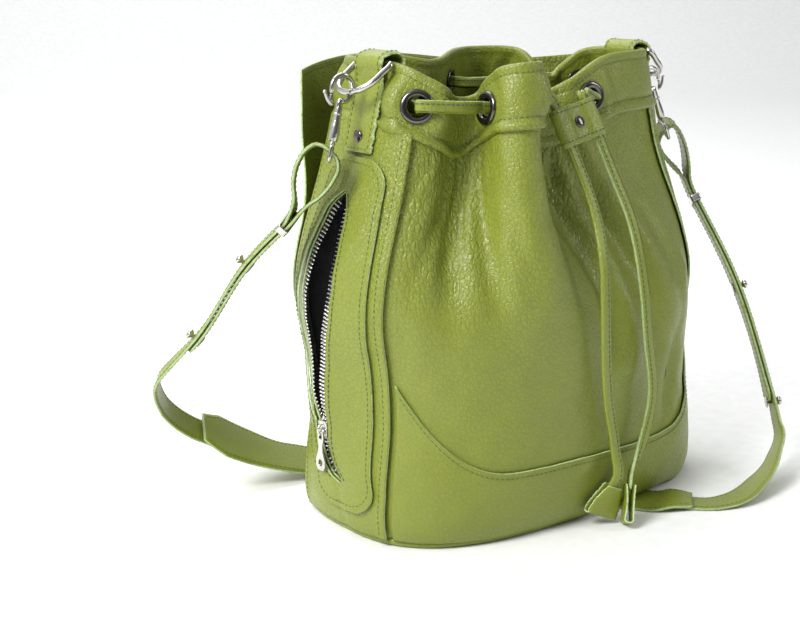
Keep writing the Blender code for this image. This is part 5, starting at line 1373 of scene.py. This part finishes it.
def pass_through(k, inwards):
    """Through the middle of an eyelet, from outside in or from inside out."""
    lifts = (0.0066, 0.0042, 0.0010, -0.0030, -0.0052)
    return [eyelet_at(k, q) for q in (lifts if inwards else lifts[::-1])]


def inside_run(a, b, lift, count):
    """Behind the leather from one eyelet to another."""
    s0, s1 = EYELETS[a][0], EYELETS[b][0]
    d = (s1 - s0 + 0.5) % 1 - 0.5
    z0, z1 = EYELETS[a][1][2], EYELETS[b][1][2]
    out = []
    for t in np.linspace(0, 1, count + 2)[1:-1]:
        s = np.float64(s0 + d * t)
        q = bare(s, EYELET_V) - normal(s, EYELET_V, bare) * lift
        out.append(Vector((q[0], q[1], z0 + (z1 - z0) * t)))
    return out


def outside_run(a, b, hang):
    """Before the leather from one eyelet to another, bowed out by hang."""
    p0, p1 = eyelet_at(a, 0.0086), eyelet_at(b, 0.0086)
    out = Vector((0, -1, 0)) if a < 4 else Vector((0, 1, 0))
    return [p0.lerp(p1, t) + out * hang * math.sin(math.pi * t)**0.6 for t in (0.14, 0.30, 0.5, 0.70, 0.86)]


route = [tunnel(-1, -0.0060), tunnel(-1, -0.0105), tunnel(-1, -0.0145)]
route += [eyelet_at(2, 0.0100) + Vector((0.0016, 0.0, -0.0004))] + pass_through(2, True)[1:]
route += [(eyelet_at(2, -0.0085) + eyelet_at(1, -0.0085)) / 2 + Vector((0, 0.001, 0))]
route += pass_through(1, False) + outside_run(1, 0, 0.0050) + pass_through(0, True)
route += inside_run(0, 7, 0.0082, 5) + pass_through(7, False) + outside_run(7, 6, 0.0040) + pass_through(6, True)
route += [(eyelet_at(6, -0.0100) + eyelet_at(5, -0.0100)) / 2]
route += pass_through(5, False) + outside_run(5, 4, 0.0020) + pass_through(4, True)
route += inside_run(4, 3, 0.0082, 6) + pass_through(3, False)
route += [eyelet_at(3, 0.0100) + Vector((-0.0040, 0, 0)), tunnel(1, -0.0145), tunnel(1, -0.0105), tunnel(1, -0.0060)]
path = smooth_path(route, [UP if 4 < i < len(route) - 5 else CINCH_W for i in range(len(route))], each=9)
place(strip("drawcord", path, CORD_W, CORD_T, [HIDE_PLAIN, RAW], "fold", wave=0.00008), "bag", ["drawstring"])


CORD_STITCH = (0.0032, 0.0026, 0.00028)      # pitch, length, radius


def cord_thread(name, path, side):
    """One row of stitches near the cut side of a folded cord, on both faces."""
    p, w, t = path
    n = np.cross(t, w)
    thread = Stitches(name, THREAD_TEAL, "bag", "cord_leather")
    for top in (-1, 1):
        thread.along(p + w * side * (CORD_W / 2 - 0.0021) + n * top * (CORD_T / 2 + 0.00008), n * top, *CORD_STITCH)
    return thread.lay()


cord_thread("drawcord_thread", path, 1)
for tag, sg in (("left", 1), ("right", -1)):
    cord_thread(f"tail_{tag}_thread", TAILS[tag], sg)

# the cinch's section: two tunnels for the tails and a pinch between them, half of it mirrored through its middle
loop = [(x, h * 0.001) for x, h in (
    (0.0187, 0), (0.0182, 1.5), (0.0170, 2.35), (0.0130, 2.6), (0.0088, 2.5), (0.0056, 1.35), (0.0, 1.05),
    (-0.0056, 1.35), (-0.0088, 2.5), (-0.0130, 2.6), (-0.0170, 2.35), (-0.0182, 1.5))]
loop += [(-x, -h) for x, h in loop]
pts = np.array([tuple(CINCH_C + CINCH_W * x + CINCH_N * h) for x, h in loop + loop[:1]])
k = run_of(pts)
q = np.linspace(0, k[-1], 121)[:-1]
ring = np.stack([through(np.r_[k[-4:-1] - k[-1], k, k[1:4] + k[-1]], np.r_[pts[-4:-1, j], pts[:, j], pts[1:4, j]], q)
                 for j in range(3)], 1)
ring, dirs, t = hoop(ring, CINCH_D)
place(strip("cinch_sleeve", (ring, dirs, t), CINCH_H, 0.0014, [HIDE_PLAIN, RAW], "fold", closed=True, wave=0.0001),
      "cinch", ["cinch_slider"])
n = np.cross(t, dirs)
middle = np.array(CINCH_C)
outward = np.sign(((ring - middle) * n).sum(1).mean())
thread = Stitches("cinch_thread", THREAD_TEAL, "cinch", "cord_leather")
for d in (-0.0095, 0.0092):
    row, out = ring + dirs * d + n * outward * 0.00078, n * outward
    thread.along(np.r_[row, row[:1]], np.r_[out, out[:1]], *CORD_STITCH)
thread.lay()
place(lathe("cinch_stud", [(0, -0.0028), (0.0026, -0.0027), (0.0031, -0.0023), (0.0028, -0.0020), (0.0012, -0.0019),
                           (0.0012, 0.0018), (0.0034, 0.0019), (0.0037, 0.0022), (0.0034, 0.0027), (0.0018, 0.0031),
                           (0, 0.0032)], CINCH_C, CINCH_N, [DARK], 40), "cinch", ["cinch_rivet"])

# ---------------------------------------------------------------- seams of the body
for tag, first, last in (("front", 0.004, 0.496), ("back", 0.504, 0.996)):
    thread = Stitches(f"band_thread_{tag}")
    s = np.linspace(first, last, 900)
    for v in BAND_STITCHES:
        thread.along(*seam_on(s, v, band_top(v) + 0.0001))
    thread.lay()
v = np.linspace(0.008, 0.2505, 420)
for tag, middle, lap in (("left", 0.0, GUSSET_LAP), ("right", 0.5, LAP)):
    thread = Stitches(f"gusset_{tag}_thread")
    for sg in (-1, 1):
        at = middle + sg * SEAM_STITCH
        thread.along(*seam_on(at, v, lap + LEATHER + edge_ridge(at, middle + sg * SEAM)))
    thread.lay()
thread = Stitches("facing_thread", slot="edged_leather")
low, high = FACING[0], FACING[1]
v = np.r_[low + 0.0032 + corner * 0.9, np.linspace(0.034, 0.216, 330), high - 0.0032 - corner[::-1] * 0.9]
grown = np.clip((v - low - 0.0032) / (high - low - 0.0064), 0, 1) * (high - low) + low
left, right = facing_sides(grown)
s_round = np.r_[right - 0.0042, left[::-1] + 0.0042]
v_round = np.r_[v, v[::-1]]
s_round, v_round = np.r_[s_round, s_round[:1]], np.r_[v_round, v_round[:1]]
keep = np.r_[True, np.hypot(np.diff(s_round) * 0.75, np.diff(v_round)) > 2e-5]
thread.along(*seam_on(s_round[keep], v_round[keep], FACING_LIFT + LEATHER))
v = np.linspace(ZIP_V[0] + 0.002, ZIP_V[1] - 0.002, 360)
for sg in (-1, 1):
    thread.along(*seam_on(slot_edge(v, sg) + sg * 0.0034, v, FACING_LIFT + LEATHER))
thread.lay()
thread = Stitches("lower_front_thread")
s = np.linspace(SEAM + 0.008, 0.5 - SEAM - 0.008, 500)
thread.along(*seam_on(s, lower_edge(s) - 0.0034, LOWER_LIFT + LEATHER + 0.0002))
thread.lay()
thread = Stitches("pocket_thread")
s = np.linspace(0.5 + SEAM + 0.010, 1 - SEAM - 0.010, 500)
thread.along(*seam_on(s, 0.2790, POCKET_LIFT + LEATHER, pocket_skin))
v = np.linspace(0.010, 0.279, 420)
for at in (0.5 + SEAM + 0.0102, 1 - SEAM - 0.0102):
    thread.along(*seam_on(at, v, POCKET_LIFT + LEATHER, pocket_skin))
thread.lay()
